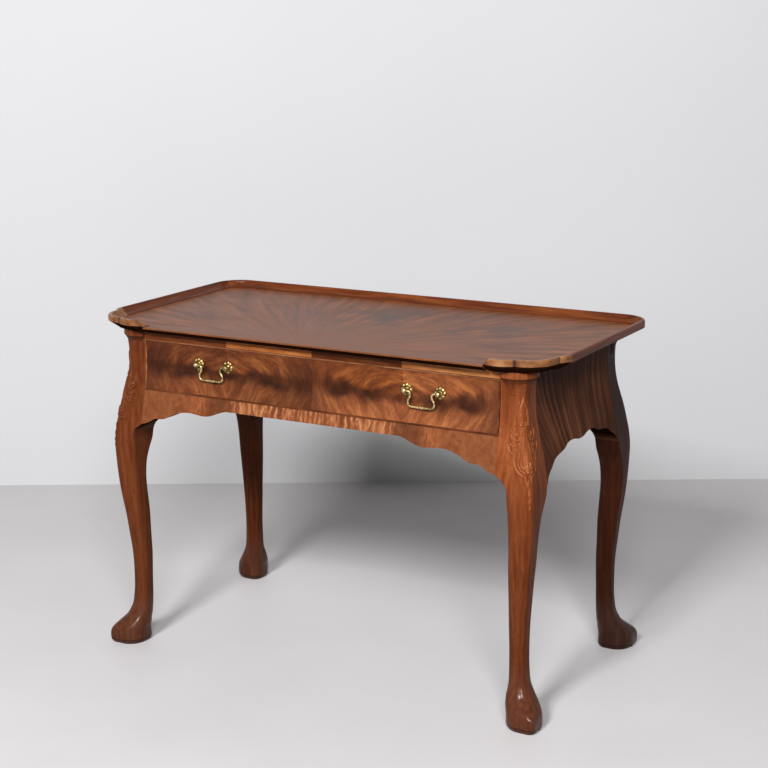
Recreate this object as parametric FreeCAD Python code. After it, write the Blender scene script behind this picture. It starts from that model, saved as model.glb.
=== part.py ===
import FreeCAD, Part
import math
import os

V = FreeCAD.Vector
os.makedirs("parts", exist_ok=True)

# Frame: X along the length, the drawer faces -Y, Z up, origin on the floor at the middle of the feet.

# Overall sizes
table_height = 720.0
top_length = 1051.4
side_overhang = 66.4
case_depth = 450.6
back_overhang = 32.7
lip_overhang = 34.7

# Tray top
panel_thickness = 13.0
tray_depth = 15.0
rim_width = 25.0
rim_crown_width = 8.0
rim_round = 4.0
rim_foot = 0.8
rim_cove_sag = 4.4
rim_set_back = 9.0
rebate_depth = 3.0
under_bevel_height = 10.0
under_bevel_width = 15.0
lip_round = 2.0
back_corner_radius = 62.0
scroll_length = 97.0
lobe_start = 137.0
lobe_ramp_length = 16.0
lobe_drop = 12.0
lobe_round = 2.5

# Case
post_side = 49.0
knee_swell = 28.3
board_thickness = 24.0
rail_height = 16.8
front_apron_height = 23.8
cap_radius = 38.6
cap_height = 12.5
cap_cove_height = 32.0
cap_cove_depth = 12.0
cap_cove_waist = 3.6
cap_cove_drop = 13.4
tenon_length = 20.0
tenon_thickness = 9.0
tenon_shoulder = 8.0
joint_clearance = 0.2

# Drawer
drawer_side_gap = 1.0
drawer_top_gap = 0.7
running_gap = 0.3
drawer_front_thickness = 20.0
drawer_side_thickness = 12.0
drawer_side_drop = 7.5
drawer_end_gap = 10.6
drawer_back_thickness = 12.0
drawer_back_drop = 6.0
drawer_bottom_thickness = 6.0
bottom_height = 7.5
groove_depth = 5.0
tail_length = 13.0
tail_width = 20.0
tail_flare = 4.0
tail_count = 3
bead_width = 3.0
bead_depth = 5.0
bead_proud = 1.5
veneer_thickness = 0.9
glue_line = 0.2
leaf_count = 4

# Inner carcase
runner_width = 24.0
runner_thickness = 18.0
guide_height = 20.0
drawer_rail_width = 60.0
stop_width = 30.0
stop_length = 20.0
stop_height = 5.0
stop_spread = 500.0
block_length = 60.0
block_size = 20.0
block_spread = 250.0
block_count = 3
screw_shank_radius = 2.2
screw_head_radius = 4.4
screw_head_height = 3.0
screw_sink = 5.0
screw_grip = 8.0
screw_end_margin = 45.0
screws_per_side = 4

# Handles
eye_spread = 73.0
eye_past_leaf = 3.45
eye_standoff = 9.5
handle_shift = 4.5
rosette_radius = 13.5
rosette_notch = 1.6
rosette_lift = 0.8
rosette_plate = 1.3
rosette_dome_radius = 8.5
rosette_dome_height = 2.2
rosette_petals = 8
post_ball_radius = 5.4
post_neck_radius = 3.0
post_stem_radius = 2.4
post_tail = 6.0
nut_radius = 5.5
nut_thickness = 4.0
bail_rod_radius = 2.2
bail_pin_radius = 1.8
bail_pin_clearance = 0.05
bail_pin_depth = 2.0
bail_end_gap = 0.6
bail_shoulder_radius = 6.0
bail_throat_width = 46.0
bail_belly_width = 57.0
bail_drop = 30.0
bail_corner_radius = 8.0
bail_bead_radius = 3.4
bail_bead_length = 4.0
bail_bead_pitch = 5.5
bail_bead_count = 3

# One overrun serves every cut
overrun = 1.5

# Shares of the leg's height where the front apron's lower edge runs level, and where the handles hang in
# the face's hollow
front_flat_share = 0.785
handle_share = 0.91474

# Places worked out from the sizes above
leg_height = table_height - tray_depth - panel_thickness
field_z = leg_height + panel_thickness
neck_x = top_length / 2 - side_overhang
neck_y = case_depth / 2
post_x = neck_x - post_side
post_y = neck_y - post_side
inner_x = neck_x - board_thickness
inner_y = neck_y - board_thickness
top_x = top_length / 2
top_back_y = neck_y + back_overhang
lip_y = -neck_y - lip_overhang
rail_z = leg_height - rail_height
ledge_z = front_flat_share * leg_height + front_apron_height
drawer_z = ledge_z + running_gap
drawer_top_z = rail_z - drawer_top_gap
drawer_x = post_x - drawer_side_gap
front_back_y = -neck_y + drawer_front_thickness
side_end_y = inner_y - drawer_end_gap
side_top_z = drawer_top_z - drawer_side_drop
kicker_z = side_top_z + drawer_side_gap
leaf_width = 2 * (drawer_x - bead_width) / leaf_count
handle_x = leaf_width + eye_past_leaf + eye_spread / 2
handle_places = [handle_shift - handle_x, handle_shift + handle_x]
handle_z = handle_share * leg_height
eye_y = -neck_y - eye_standoff


# Shares chosen by eye for the cabriole leg, from the floor up. Each row gives the height as a share
# of the leg, how far the two outer faces stand beyond the neck as a share of the knee's swell, and
# then as shares of the post's side how far the inner faces lie behind the neck, towards the front
# apron and towards the side apron, and the corner radii at the toe, the two sides and the heel.
leg_section_shares = [
    (0.0000, 1.516, 0.430, 0.430, 0.240, 0.690, 0.370),
    (0.0058, 1.604, 0.482, 0.482, 0.230, 0.750, 0.410),
    (0.0145, 1.643, 0.500, 0.500, 0.210, 0.745, 0.390),
    (0.0260, 1.650, 0.496, 0.496, 0.210, 0.740, 0.390),
    (0.0405, 1.613, 0.507, 0.507, 0.230, 0.735, 0.430),
    (0.0520, 1.472, 0.548, 0.548, 0.270, 0.690, 0.540),
    (0.0636, 1.240, 0.590, 0.590, 0.330, 0.600, 0.630),
    (0.0723, 1.060, 0.592, 0.592, 0.370, 0.500, 0.610),
    (0.0867, 0.800, 0.599, 0.599, 0.440, 0.410, 0.540),
    (0.1010, 0.625, 0.582, 0.582, 0.400, 0.375, 0.420),
    (0.1156, 0.470, 0.576, 0.576, 0.340, 0.350, 0.350),
    (0.1445, 0.346, 0.576, 0.576, 0.300, 0.320, 0.300),
    (0.1660, 0.295, 0.578, 0.578, 0.290, 0.300, 0.290),
    (0.2170, 0.269, 0.588, 0.588, 0.290, 0.300, 0.290),
    (0.2890, 0.304, 0.604, 0.604, 0.290, 0.290, 0.290),
    (0.3470, 0.420, 0.590, 0.590, 0.290, 0.290, 0.290),
    (0.4190, 0.580, 0.575, 0.575, 0.290, 0.290, 0.290),
    (0.4620, 0.707, 0.547, 0.547, 0.290, 0.290, 0.290),
    (0.5200, 0.845, 0.508, 0.512, 0.290, 0.290, 0.290),
    (0.5560, 0.910, 0.500, 0.535, 0.300, 0.280, 0.280),
    (0.5850, 0.950, 0.500, 0.600, 0.310, 0.270, 0.260),
    (0.6140, 0.985, 0.508, 0.740, 0.320, 0.250, 0.220),
    (0.6360, 1.000, 0.515, 0.880, 0.330, 0.210, 0.180),
    (0.6530, 0.990, 0.515, 0.965, 0.325, 0.150, 0.130),
    (0.6750, 0.953, 0.520, 1.000, 0.320, 0.085, 0.080),
    (0.6880, 0.918, 0.570, 1.030, 0.310, 0.060, 0.060),
    (0.6990, 0.878, 0.690, 1.030, 0.300, 0.045, 0.050),
    (0.7090, 0.838, 0.870, 1.030, 0.295, 0.040, 0.040),
    (0.7165, 0.805, 1.000, 1.030, 0.292, 0.040, 0.040),
    (0.7260, 0.765, 1.030, 1.030, 0.288, 0.040, 0.040),
    (0.7440, 0.690, 1.030, 1.030, 0.280, 0.040, 0.040),
    (0.7800, 0.520, 1.030, 1.030, 0.265, 0.040, 0.040),
    (0.8240, 0.270, 1.030, 1.030, 0.255, 0.040, 0.040),
    (0.8670, 0.085, 1.030, 1.030, 0.245, 0.040, 0.040),
    (0.8960, 0.020, 1.030, 1.030, 0.245, 0.040, 0.040),
    (0.9250, 0.000, 1.030, 1.030, 0.245, 0.040, 0.040),
    (0.9470, 0.015, 1.030, 1.030, 0.245, 0.040, 0.040),
    (0.9650, 0.050, 1.030, 1.030, 0.245, 0.040, 0.040),
    (0.9830, 0.100, 1.030, 1.030, 0.245, 0.040, 0.040),
    (1.0000, 0.150, 1.030, 1.030, 0.245, 0.040, 0.040),
]
knee_share = 0.636
front_bracket_share = 0.7165
side_bracket_share = 0.675

# Shares for the aprons' lower edges: the place as a share of the half span between the posts, and
# the height as a share of the leg. The curve runs smoothly to each cusp, where the next one starts.
front_flat_shares = [(0.0, front_flat_share), (0.487, front_flat_share)]
front_ogee_shares = [
    (0.487, front_flat_share), (0.535, 0.777), (0.575, 0.768), (0.622, 0.763), (0.680, 0.766), (0.725, 0.767),
    (0.775, 0.762), (0.825, 0.750), (0.865, 0.739), (0.905, 0.737), (0.925, 0.736),
]
front_cusp_shares = [(0.925, 0.736), (0.955, 0.725), (1.0, 0.7165)]
side_middle_shares = [(0.0, 0.7485), (0.06, 0.749), (0.12, 0.752)]
side_lobe_shares = [(0.12, 0.752), (0.25, 0.757), (0.38, 0.754)]
side_ogee_shares = [
    (0.38, 0.754), (0.46, 0.745), (0.54, 0.741), (0.66, 0.737), (0.76, 0.729), (0.85, 0.714),
    (0.93, 0.702), (0.975, 0.690), (1.0, 0.677),
]

# Shares for the carved front corners: places along the length as shares of the lobes' run from the
# start of the first lobe to the end of the top, and across it as shares of the scroll's length.
first_lobe_shares = [(0.0, 0.0), (0.24, 0.092), (0.462, -0.045)]
second_lobe_shares = [(0.462, -0.045), (0.765, -0.21), (0.90, -0.69)]
scroll_shares = [(0.90, -0.69), (0.965, -0.83), (1.0, -1.0)]


def box(x0, x1, y0, y1, z0, z1):
    """A block given by its lowest and highest place along each axis."""
    return Part.makeBox(x1 - x0, y1 - y0, z1 - z0, V(x0, y0, z0))


def line(a, b):
    return Part.LineSegment(a, b).toShape()


def arc(a, b, c):
    return Part.Arc(a, b, c).toShape()


def spline(points):
    """A smooth curve through the points."""
    curve = Part.BSplineCurve()
    curve.interpolate(points)
    return curve.toShape()


def prism(edges, way):
    """The closed outline of the edges, carried along a vector."""
    return Part.Face(Part.Wire(edges)).extrude(way)


def mirror_x(shape):
    return shape.mirror(V(0, 0, 0), V(1, 0, 0))


def mirror_y(shape):
    return shape.mirror(V(0, 0, 0), V(0, 1, 0))


def turned(shape, quarters):
    """The shape turned about the upright axis by quarter turns."""
    copy = shape.copy()
    copy.rotate(V(0, 0, 0), V(0, 0, 1), 90 * quarters)
    return copy


def spun(points, centre, axis):
    """A closed outline of straight runs, turned once about an axis."""
    runs = [line(a, b) for a, b in zip(points, points[1:] + points[:1])]
    return Part.Face(Part.Wire(runs)).revolve(centre, axis, 360)


def write(name, shape):
    """One file for each piece, or for each group of alike fasteners."""
    shape.exportStep("parts/%s.step" % name)
    print(name, "solids", len(shape.Solids), "volume", round(shape.Volume), "valid", shape.isValid())


# Cabriole legs. Each is one stick of mahogany: square post, swelling knee, thin ankle and club foot.
def leg_section(row):
    """A rounded square at one height, its toe on the outward diagonal."""
    height, swell, inset_x, inset_y, toe_share, side_share, heel_share = row
    z = height * leg_height
    x1 = neck_x + swell * knee_swell
    y1 = neck_y + swell * knee_swell
    x0 = neck_x - inset_x * post_side
    y0 = neck_y - inset_y * post_side
    toe = toe_share * post_side
    side = side_share * post_side
    heel = heel_share * post_side
    bend = 1 - math.sqrt(0.5)
    return Part.Wire([
        line(V(x1, y0 + side, z), V(x1, y1 - toe, z)),
        arc(V(x1, y1 - toe, z), V(x1 - bend * toe, y1 - bend * toe, z), V(x1 - toe, y1, z)),
        line(V(x1 - toe, y1, z), V(x0 + side, y1, z)),
        arc(V(x0 + side, y1, z), V(x0 + bend * side, y1 - bend * side, z), V(x0, y1 - side, z)),
        line(V(x0, y1 - side, z), V(x0, y0 + heel, z)),
        arc(V(x0, y0 + heel, z), V(x0 + bend * heel, y0 + bend * heel, z), V(x0 + heel, y0, z)),
        line(V(x0 + heel, y0, z), V(x1 - side, y0, z)),
        arc(V(x1 - side, y0, z), V(x1 - bend * side, y0 + bend * side, z), V(x1, y0 + side, z)),
    ])


def post_cap():
    """The round collar at the top of the post, with the cove below it."""
    cx = neck_x - post_side / 2
    cy = neck_y - post_side / 2
    edge_z = leg_height - cap_height
    low_z = edge_z - cap_cove_height
    low_radius = cap_radius - cap_cove_depth
    top = V(cx, cy, leg_height)
    rim = V(cx + cap_radius, cy, leg_height)
    edge = V(cx + cap_radius, cy, edge_z)
    low = V(cx + low_radius, cy, low_z)
    middle = V(cx + low_radius + cap_cove_waist, cy, edge_z - cap_cove_drop)
    foot = V(cx, cy, low_z)
    face = Part.Face(Part.Wire([line(top, rim), line(rim, edge), arc(edge, middle, low),
                                line(low, foot), line(foot, top)]))
    return face.revolve(foot, V(0, 0, 1), 360)


def tenon(side_of_front):
    """The tenon on one end of an apron, in the corner where x and y are positive."""
    low_z = front_bracket_share * leg_height + tenon_shoulder
    high_z = leg_height - 2 * tenon_shoulder
    middle = board_thickness / 2
    if side_of_front:
        y = neck_y - middle
        return box(post_x, post_x + tenon_length, y - tenon_thickness / 2, y + tenon_thickness / 2,
                   low_z, high_z)
    x = neck_x - middle
    return box(x - tenon_thickness / 2, x + tenon_thickness / 2, post_y, post_y + tenon_length,
               low_z, high_z)


def front_tenons():
    """The rail's tenon above the drawer and the apron's tenon below it."""
    whole = tenon(True)
    low = whole.BoundBox.ZMin
    y0 = whole.BoundBox.YMin
    y1 = whole.BoundBox.YMax
    rail = box(post_x, post_x + tenon_length, y0, y1, rail_z + tenon_shoulder / 2,
               leg_height - tenon_shoulder / 2)
    apron = box(post_x, post_x + tenon_length, y0, y1, low, ledge_z - tenon_shoulder)
    return rail, apron


def grown(block):
    """The mortise that a tenon needs: the same block with the joint's clearance round it."""
    b = block.BoundBox
    c = joint_clearance
    return box(b.XMin - c, b.XMax + c, b.YMin - c, b.YMax + c, b.ZMin - c, b.ZMax + c)


def leg(mortises):
    """One leg in the corner where x and y are positive."""
    body = Part.makeLoft([leg_section(row) for row in leg_section_shares], True, False)
    body = body.fuse(post_cap())
    reach = post_side + cap_radius
    bracket_x = box(post_x - reach, post_x, post_y - reach, neck_y + reach,
                    front_bracket_share * leg_height, leg_height + overrun)
    bracket_y = box(post_x - reach, neck_x + reach, post_y - reach, post_y,
                    side_bracket_share * leg_height, leg_height + overrun)
    body = body.cut(bracket_x).cut(bracket_y)
    for block in mortises:
        body = body.cut(grown(block))
    return body.Solids[0]


# Case boards. Front, sides and back share one hollow-and-swelling face, so they run on round the
# posts. Each is sawn from thick stock: shaped outside and flat inside.
def face_points(proud):
    """Points down the case's outer face, with the front's neck at -Y."""
    rows = [row for row in leg_section_shares if row[0] >= knee_share]
    return [V(0, -neck_y - row[1] * knee_swell - proud, row[0] * leg_height) for row in rows]


def shaped_board(half_span, back_y, proud):
    """A board across the front, from its shaped face to a flat back."""
    points = face_points(proud)
    low = points[0].z
    high = points[-1].z
    outline = [spline(points), line(points[-1], V(0, back_y, high)),
               line(V(0, back_y, high), V(0, back_y, low)), line(V(0, back_y, low), points[0])]
    board = prism(outline, V(2 * half_span, 0, 0))
    board.translate(V(-half_span, 0, 0))
    return board


def face_layer(half_span, proud, depth):
    """A layer of even depth that follows the shaped face."""
    outer = face_points(proud)
    inner = face_points(-depth)
    outline = [spline(outer), line(outer[-1], inner[-1]), spline(inner), line(inner[0], outer[0])]
    layer = prism(outline, V(2 * half_span, 0, 0))
    layer.translate(V(-half_span, 0, 0))
    return layer


def edge_points(shares, half_span, y):
    return [V(x * half_span, y, z * leg_height) for x, z in shares]


def under_edge(runs, half_span, depth):
    """What the scroll saw takes away below an apron's lower edge, both halves alike."""
    y = -depth
    floor = knee_share * leg_height - overrun
    edges = []
    for shares in runs:
        points = edge_points(shares, half_span, y)
        edges.append(line(points[0], points[1]) if len(points) == 2 else spline(points))
    first = edge_points(runs[0], half_span, y)[0]
    last = edge_points(runs[-1], half_span, y)[-1]
    out = V(last.x + overrun, y, last.z)
    edges += [line(last, out), line(out, V(out.x, y, floor)), line(V(out.x, y, floor), V(0, y, floor)),
              line(V(0, y, floor), first)]
    half = prism(edges, V(0, 2 * depth, 0))
    return half.fuse(mirror_x(half)).removeSplitter()


def apron(half_span, back_y, shift, runs, top_z):
    """A case board with its scrolled lower edge. The shift brings the face to the side's neck."""
    board = shaped_board(half_span, back_y, 0)
    depth = neck_y + knee_swell + overrun
    board = board.cut(under_edge(runs, half_span, depth))
    board = board.common(box(-half_span, half_span, -depth, depth, 0, top_z))
    board.translate(V(0, -shift, 0))
    return board.Solids[0]


front_runs = [front_flat_shares, front_ogee_shares, front_cusp_shares]
side_runs = [side_middle_shares, side_lobe_shares, side_ogee_shares]
rail_tenon, apron_tenon = front_tenons()
back_tenon = tenon(True)
side_tenon = tenon(False)

front_leg = leg([rail_tenon, apron_tenon, side_tenon])
back_leg = leg([back_tenon, side_tenon])
write("leg_front_right", mirror_y(front_leg))
write("leg_front_left", mirror_x(mirror_y(front_leg)))
write("leg_back_right", back_leg)
write("leg_back_left", mirror_x(back_leg))


def both_ends(block):
    return block, mirror_x(block)


def joined(body, blocks):
    for block in blocks:
        body = body.fuse(block)
    return body.removeSplitter()


front_apron = apron(post_x, -inner_y, 0, front_runs, ledge_z)
write("apron_front", joined(front_apron, both_ends(mirror_y(apron_tenon))))

back_apron = turned(apron(post_x, -inner_y, 0, front_runs, leg_height), 2)
write("apron_back", joined(back_apron, both_ends(back_tenon)))

side_shift = neck_x - neck_y
right_apron = turned(apron(post_y, -inner_y, side_shift, side_runs, leg_height), 1)
right_apron = joined(right_apron, [side_tenon, mirror_y(side_tenon)])
write("apron_right", right_apron)
write("apron_left", mirror_x(right_apron))

rail = shaped_board(post_x, -inner_y, 0)
rail = rail.common(box(-post_x, post_x, -neck_y - knee_swell, 0, rail_z, leg_height))
write("rail_front", joined(rail, both_ends(mirror_y(rail_tenon))))


# Tray top. One wide board with a rounded front lip, a coved rim glued into a rebate along the back and
# both sides, and carved blocks where the rim ends in lobes at the front corners.
def corner_point(share, z, inset):
    """A place on a carved corner, drawn in towards the board's middle by the inset."""
    x0 = top_x - lobe_start
    p = V(x0 + share[0] * lobe_start, lip_y - share[1] * scroll_length, z)
    hub = V(x0, lip_y + scroll_length, z)
    way = hub - p
    return p + way * (inset / way.Length)


def corner_run(z, inset):
    """The three carved curves of the right front corner, from the lip round to the side."""
    return [arc(*[corner_point(share, z, inset) for share in shares])
            for shares in (first_lobe_shares, second_lobe_shares, scroll_shares)]


def panel_outline(z, step, lip_step):
    """Half of the board's outline. The step draws in the sides and back, the lip's step the front."""
    start = corner_point(first_lobe_shares[0], z, step)
    end = corner_point(scroll_shares[-1], z, step)
    front_y = lip_y + lip_step
    side_x = top_x - step
    back_y = top_back_y - step
    r = back_corner_radius - step
    bend = r * math.sqrt(0.5)
    return Part.Wire([
        line(V(0, front_y, z), V(start.x, front_y, z)), line(V(start.x, front_y, z), start),
        *corner_run(z, step),
        line(end, V(side_x, back_y - r, z)),
        arc(V(side_x, back_y - r, z), V(side_x - r + bend, back_y - r + bend, z), V(side_x - r, back_y, z)),
        line(V(side_x - r, back_y, z), V(0, back_y, z)), line(V(0, back_y, z), V(0, front_y, z)),
    ])


def panel_half():
    """Half of the board: an even slab with a bevel under its edges."""
    bevel_z = leg_height + under_bevel_height
    upper = panel_outline(bevel_z, rim_set_back, 0)
    lower = panel_outline(leg_height, rim_set_back + under_bevel_width, under_bevel_width)
    slab = Part.Face(upper).extrude(V(0, 0, field_z - bevel_z))
    return slab.fuse(Part.makeLoft([lower, upper], True, True))


def lip_edges(body):
    """The long top edge of the front lip."""
    slack = joint_clearance
    return [e for e in body.Edges
            if e.BoundBox.YMax < lip_y + slack and e.BoundBox.ZMin > field_z - slack
            and e.BoundBox.XLength > post_side]


def screw_places():
    """Where the screws rise through the kickers into the top."""
    x = post_x + (inner_x - post_x) / 2
    run = 2 * (post_y - screw_end_margin)
    for n in range(screws_per_side):
        y = -run / 2 + n * run / (screws_per_side - 1)
        yield V(x, y, 0)
        yield V(-x, y, 0)


def screw_hole(place, low_z, high_z):
    hole = Part.makeCylinder(screw_shank_radius + joint_clearance, high_z - low_z, V(place.x, place.y, low_z))
    head_top = kicker_z + screw_sink + screw_head_height
    depth = head_top - kicker_z + joint_clearance + overrun
    well = Part.makeCylinder(screw_head_radius + joint_clearance, depth,
                             V(place.x, place.y, kicker_z - overrun))
    return hole.fuse(well)


def rim_profile(origin, inward):
    """The rim's section: outer face, rounded crown, cove down to the field, and the foot in the rebate."""
    def at(w, z):
        return origin + inward * w + V(0, 0, z - origin.z)
    top = table_height
    foot_z = field_z + rim_foot
    seat_z = field_z - rebate_depth
    round_mid = rim_round * (1 - math.sqrt(0.5))
    across = rim_width - rim_crown_width
    fall = top - foot_z
    chord = math.hypot(across, fall)
    cove_w = rim_crown_width + across / 2 - rim_cove_sag * fall / chord
    cove_z = foot_z + fall / 2 - rim_cove_sag * across / chord
    return [
        line(at(0, field_z), at(0, top - rim_round)),
        arc(at(0, top - rim_round), at(round_mid, top - round_mid), at(rim_round, top)),
        line(at(rim_round, top), at(rim_crown_width, top)),
        arc(at(rim_crown_width, top), at(cove_w, cove_z), at(rim_width, foot_z)),
        line(at(rim_width, foot_z), at(rim_width, seat_z)),
        line(at(rim_width, seat_z), at(rim_set_back, seat_z)),
        line(at(rim_set_back, seat_z), at(0, field_z)),
    ]


straight_y = top_back_y - back_corner_radius
straight_x = top_x - back_corner_radius
scroll_end_y = lip_y + scroll_length
back_face = rim_profile(V(-straight_x, top_back_y, field_z), V(0, -1, 0))
rim_back = prism(back_face, V(2 * straight_x, 0, 0))
side_face = rim_profile(V(top_x, scroll_end_y, field_z), V(-1, 0, 0))
rim_right = prism(side_face, V(0, straight_y - scroll_end_y, 0))
corner_face = Part.Face(Part.Wire(rim_profile(V(top_x, straight_y, field_z), V(-1, 0, 0))))
rim_corner = corner_face.revolve(V(straight_x, straight_y, field_z), V(0, 0, 1), 90)


def corner_ring(z, inset):
    """The lobed outline at one height, closed at the hub behind it."""
    runs = corner_run(z, inset)
    start = corner_point(first_lobe_shares[0], z, inset)
    end = corner_point(scroll_shares[-1], z, inset)
    hub = V(start.x, end.y, z)
    return Part.Wire([*runs, line(end, hub), line(hub, start)])


def carved_corner():
    """The lobed rim of the right front corner: tapered below, coved inside, sloping up from the lip."""
    seat_z = field_z - rebate_depth
    cove_z = field_z + rim_foot
    cove_bend = (rim_crown_width + rim_width) / 2 - rim_cove_sag / 2
    cove_bend_z = (table_height + cove_z) / 2 - rim_cove_sag / 2
    above = table_height + overrun
    outside = [(seat_z, rim_set_back), (table_height - lobe_drop, 0), (table_height - lobe_round, 0),
               (table_height, lobe_round)]
    inside = [(seat_z - overrun, rim_width), (cove_z, rim_width), (cove_bend_z, cove_bend),
              (table_height, rim_crown_width), (above, rim_crown_width)]
    block = Part.makeLoft([corner_ring(z, inset) for z, inset in outside], True, True)
    hollow = Part.makeLoft([corner_ring(z, inset) for z, inset in inside], True, True)
    x0 = top_x - lobe_start
    ramp = [V(x0 - overrun, 0, cove_z), V(x0, 0, cove_z), V(x0 + lobe_ramp_length, 0, table_height),
            V(x0 + lobe_ramp_length, 0, above), V(x0 - overrun, 0, above)]
    runs = [line(a, b) for a, b in zip(ramp, ramp[1:] + ramp[:1])]
    block = block.cut(hollow).cut(prism(runs, V(0, 2 * lip_y, 0)))
    return max(block.Solids, key=lambda solid: solid.Volume)


corner = carved_corner()
write("rim_back", rim_back)
write("rim_right", rim_right)
write("rim_left", mirror_x(rim_right))
write("rim_corner_right", rim_corner)
write("rim_corner_left", mirror_x(rim_corner))
write("carved_corner_right", corner)
write("carved_corner_left", mirror_x(corner))

panel = panel_half()
panel = panel.fuse(mirror_x(panel)).removeSplitter()
panel = panel.makeFillet(lip_round, lip_edges(panel))
panel = panel.cut(rim_back)
for piece in (rim_right, rim_corner, corner):
    panel = panel.cut(piece).cut(mirror_x(piece))
screw_top = leg_height + screw_grip
for place in screw_places():
    panel = panel.cut(screw_hole(place, kicker_z, screw_top + joint_clearance))
write("top_panel", max(panel.Solids, key=lambda solid: solid.Volume))


# Inner carcase: the bearers that the drawer runs on, beside and under, all in plain oak or pine.
runner = box(drawer_x - runner_width, inner_x, -post_y, post_y, ledge_z - runner_thickness, ledge_z)
runner = runner.fuse(box(drawer_x - runner_width, post_x, -inner_y, inner_y,
                         ledge_z - runner_thickness, ledge_z)).removeSplitter()
write("runner_right", runner)
write("runner_left", mirror_x(runner))

guide = box(post_x, inner_x, -post_y, post_y, ledge_z, ledge_z + guide_height)
write("guide_right", guide)
write("guide_left", mirror_x(guide))

kicker = box(drawer_x - runner_width, inner_x, -post_y, post_y, kicker_z, leg_height)
kicker = kicker.fuse(box(drawer_x - runner_width, post_x, -inner_y, inner_y, kicker_z, leg_height))
kicker = kicker.removeSplitter()
kickers = [kicker, mirror_x(kicker)]
for place in screw_places():
    hole = screw_hole(place, kicker_z, leg_height + overrun)
    kickers = [body.cut(hole) for body in kickers]
write("kicker_right", kickers[0].Solids[0])
write("kicker_left", kickers[1].Solids[0])

rail_half = drawer_x - runner_width
drawer_rail = box(-rail_half, rail_half, -inner_y, -inner_y + drawer_rail_width, ledge_z - runner_thickness,
                  ledge_z)
write("drawer_rail", drawer_rail)

stop_y = front_back_y + running_gap
stop = box((stop_spread - stop_width) / 2, (stop_spread + stop_width) / 2, stop_y, stop_y + stop_length,
           ledge_z, ledge_z + stop_height)
write("drawer_stops", Part.makeCompound([stop, mirror_x(stop)]))


def glue_block(x):
    """A rubbed block in the angle of the back apron and the top, its free corner planed off."""
    z = leg_height
    bevel = block_size / 3
    points = [V(x, inner_y, z), V(x, inner_y - block_size, z), V(x, inner_y - block_size, z - bevel),
              V(x, inner_y - bevel, z - block_size), V(x, inner_y, z - block_size)]
    runs = [line(a, b) for a, b in zip(points, points[1:] + points[:1])]
    return prism(runs, V(block_length, 0, 0))


first_block = -block_spread * (block_count - 1) / 2 - block_length / 2
block_places = [first_block + n * block_spread for n in range(block_count)]
write("glue_blocks", Part.makeCompound([glue_block(x) for x in block_places]))


def screw(place):
    """A countersunk wood screw, head down, that holds the top from below."""
    z0 = kicker_z + screw_sink
    points = [V(0, 0, z0), V(screw_head_radius, 0, z0), V(screw_shank_radius, 0, z0 + screw_head_height),
              V(screw_shank_radius, 0, screw_top - screw_shank_radius), V(0, 0, screw_top)]
    body = spun(points, V(0, 0, 0), V(0, 0, 1))
    body.translate(place)
    return body


write("top_screws", Part.makeCompound([screw(place) for place in screw_places()]))


# Drawer. A shaped front with veneer leaves and cock beads, and a dovetailed oak box behind it.
def bead_frame():
    """The ring of wood that the four cock beads fill, round the edge of the drawer front."""
    layer = face_layer(drawer_x, bead_proud, bead_depth)
    far = -neck_y - knee_swell - bead_proud
    whole = box(-drawer_x, drawer_x, far, 0, drawer_z, drawer_top_z)
    inside = box(-drawer_x + bead_width, drawer_x - bead_width, far - overrun, overrun,
                 drawer_z + bead_width, drawer_top_z - bead_width)
    return layer.common(whole).cut(inside)


def tails():
    """Dovetails on the front end of the right drawer side."""
    pitch = (side_top_z - drawer_z - bottom_height - drawer_bottom_thickness) / tail_count
    low = drawer_z + bottom_height + drawer_bottom_thickness
    for n in range(tail_count):
        z = low + (n + 0.5) * pitch
        base = tail_width / 2
        tip = base + tail_flare / 2
        y0 = front_back_y
        y1 = front_back_y - tail_length
        x = drawer_x - drawer_side_thickness
        points = [V(x, y0, z - base), V(x, y1, z - tip), V(x, y1, z + tip), V(x, y0, z + base)]
        runs = [line(a, b) for a, b in zip(points, points[1:] + points[:1])]
        yield prism(runs, V(drawer_side_thickness, 0, 0))


far_y = -neck_y - knee_swell
frame = bead_frame()
end_cut = box(-drawer_x, drawer_x, far_y - overrun, 0, drawer_z + bead_width, drawer_top_z - bead_width)
top_cut = box(-drawer_x, drawer_x, far_y - overrun, 0, drawer_top_z - bead_width, drawer_top_z)
bottom_cut = box(-drawer_x, drawer_x, far_y - overrun, 0, drawer_z, drawer_z + bead_width)
right_cut = box(0, drawer_x, far_y - overrun, 0, drawer_z + bead_width, drawer_top_z - bead_width)
side_bead = frame.common(right_cut).Solids[0]
write("bead_top", frame.common(top_cut).Solids[0])
write("bead_bottom", frame.common(bottom_cut).Solids[0])
write("bead_right", side_bead)
write("bead_left", mirror_x(side_bead))

front = shaped_board(drawer_x, front_back_y, 0)
front = front.common(box(-drawer_x, drawer_x, far_y, 0, drawer_z, drawer_top_z)).cut(frame)
leaf_field = box(-drawer_x + bead_width, drawer_x - bead_width, far_y, 0, drawer_z + bead_width,
                 drawer_top_z - bead_width)
leaf_layer = face_layer(drawer_x, 0, veneer_thickness).common(leaf_field)
front = front.cut(face_layer(drawer_x, 0, veneer_thickness + glue_line).common(leaf_field))


def eye_holes():
    """Drillings for the handle posts, through the veneer and the front."""
    radius = post_stem_radius + joint_clearance
    for centre in handle_places:
        for side in (-1, 1):
            start = V(centre + side * eye_spread / 2, front_back_y + overrun, handle_z)
            yield Part.makeCylinder(radius, drawer_front_thickness + knee_swell, start, V(0, -1, 0))


for n in range(leaf_count):
    x0 = -drawer_x + bead_width + n * leaf_width
    leaf = leaf_layer.common(box(x0, x0 + leaf_width, far_y, 0, drawer_z, drawer_top_z))
    for hole in eye_holes():
        leaf = leaf.cut(hole)
    write("veneer_leaf_%d" % (n + 1), leaf.Solids[0])

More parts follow.
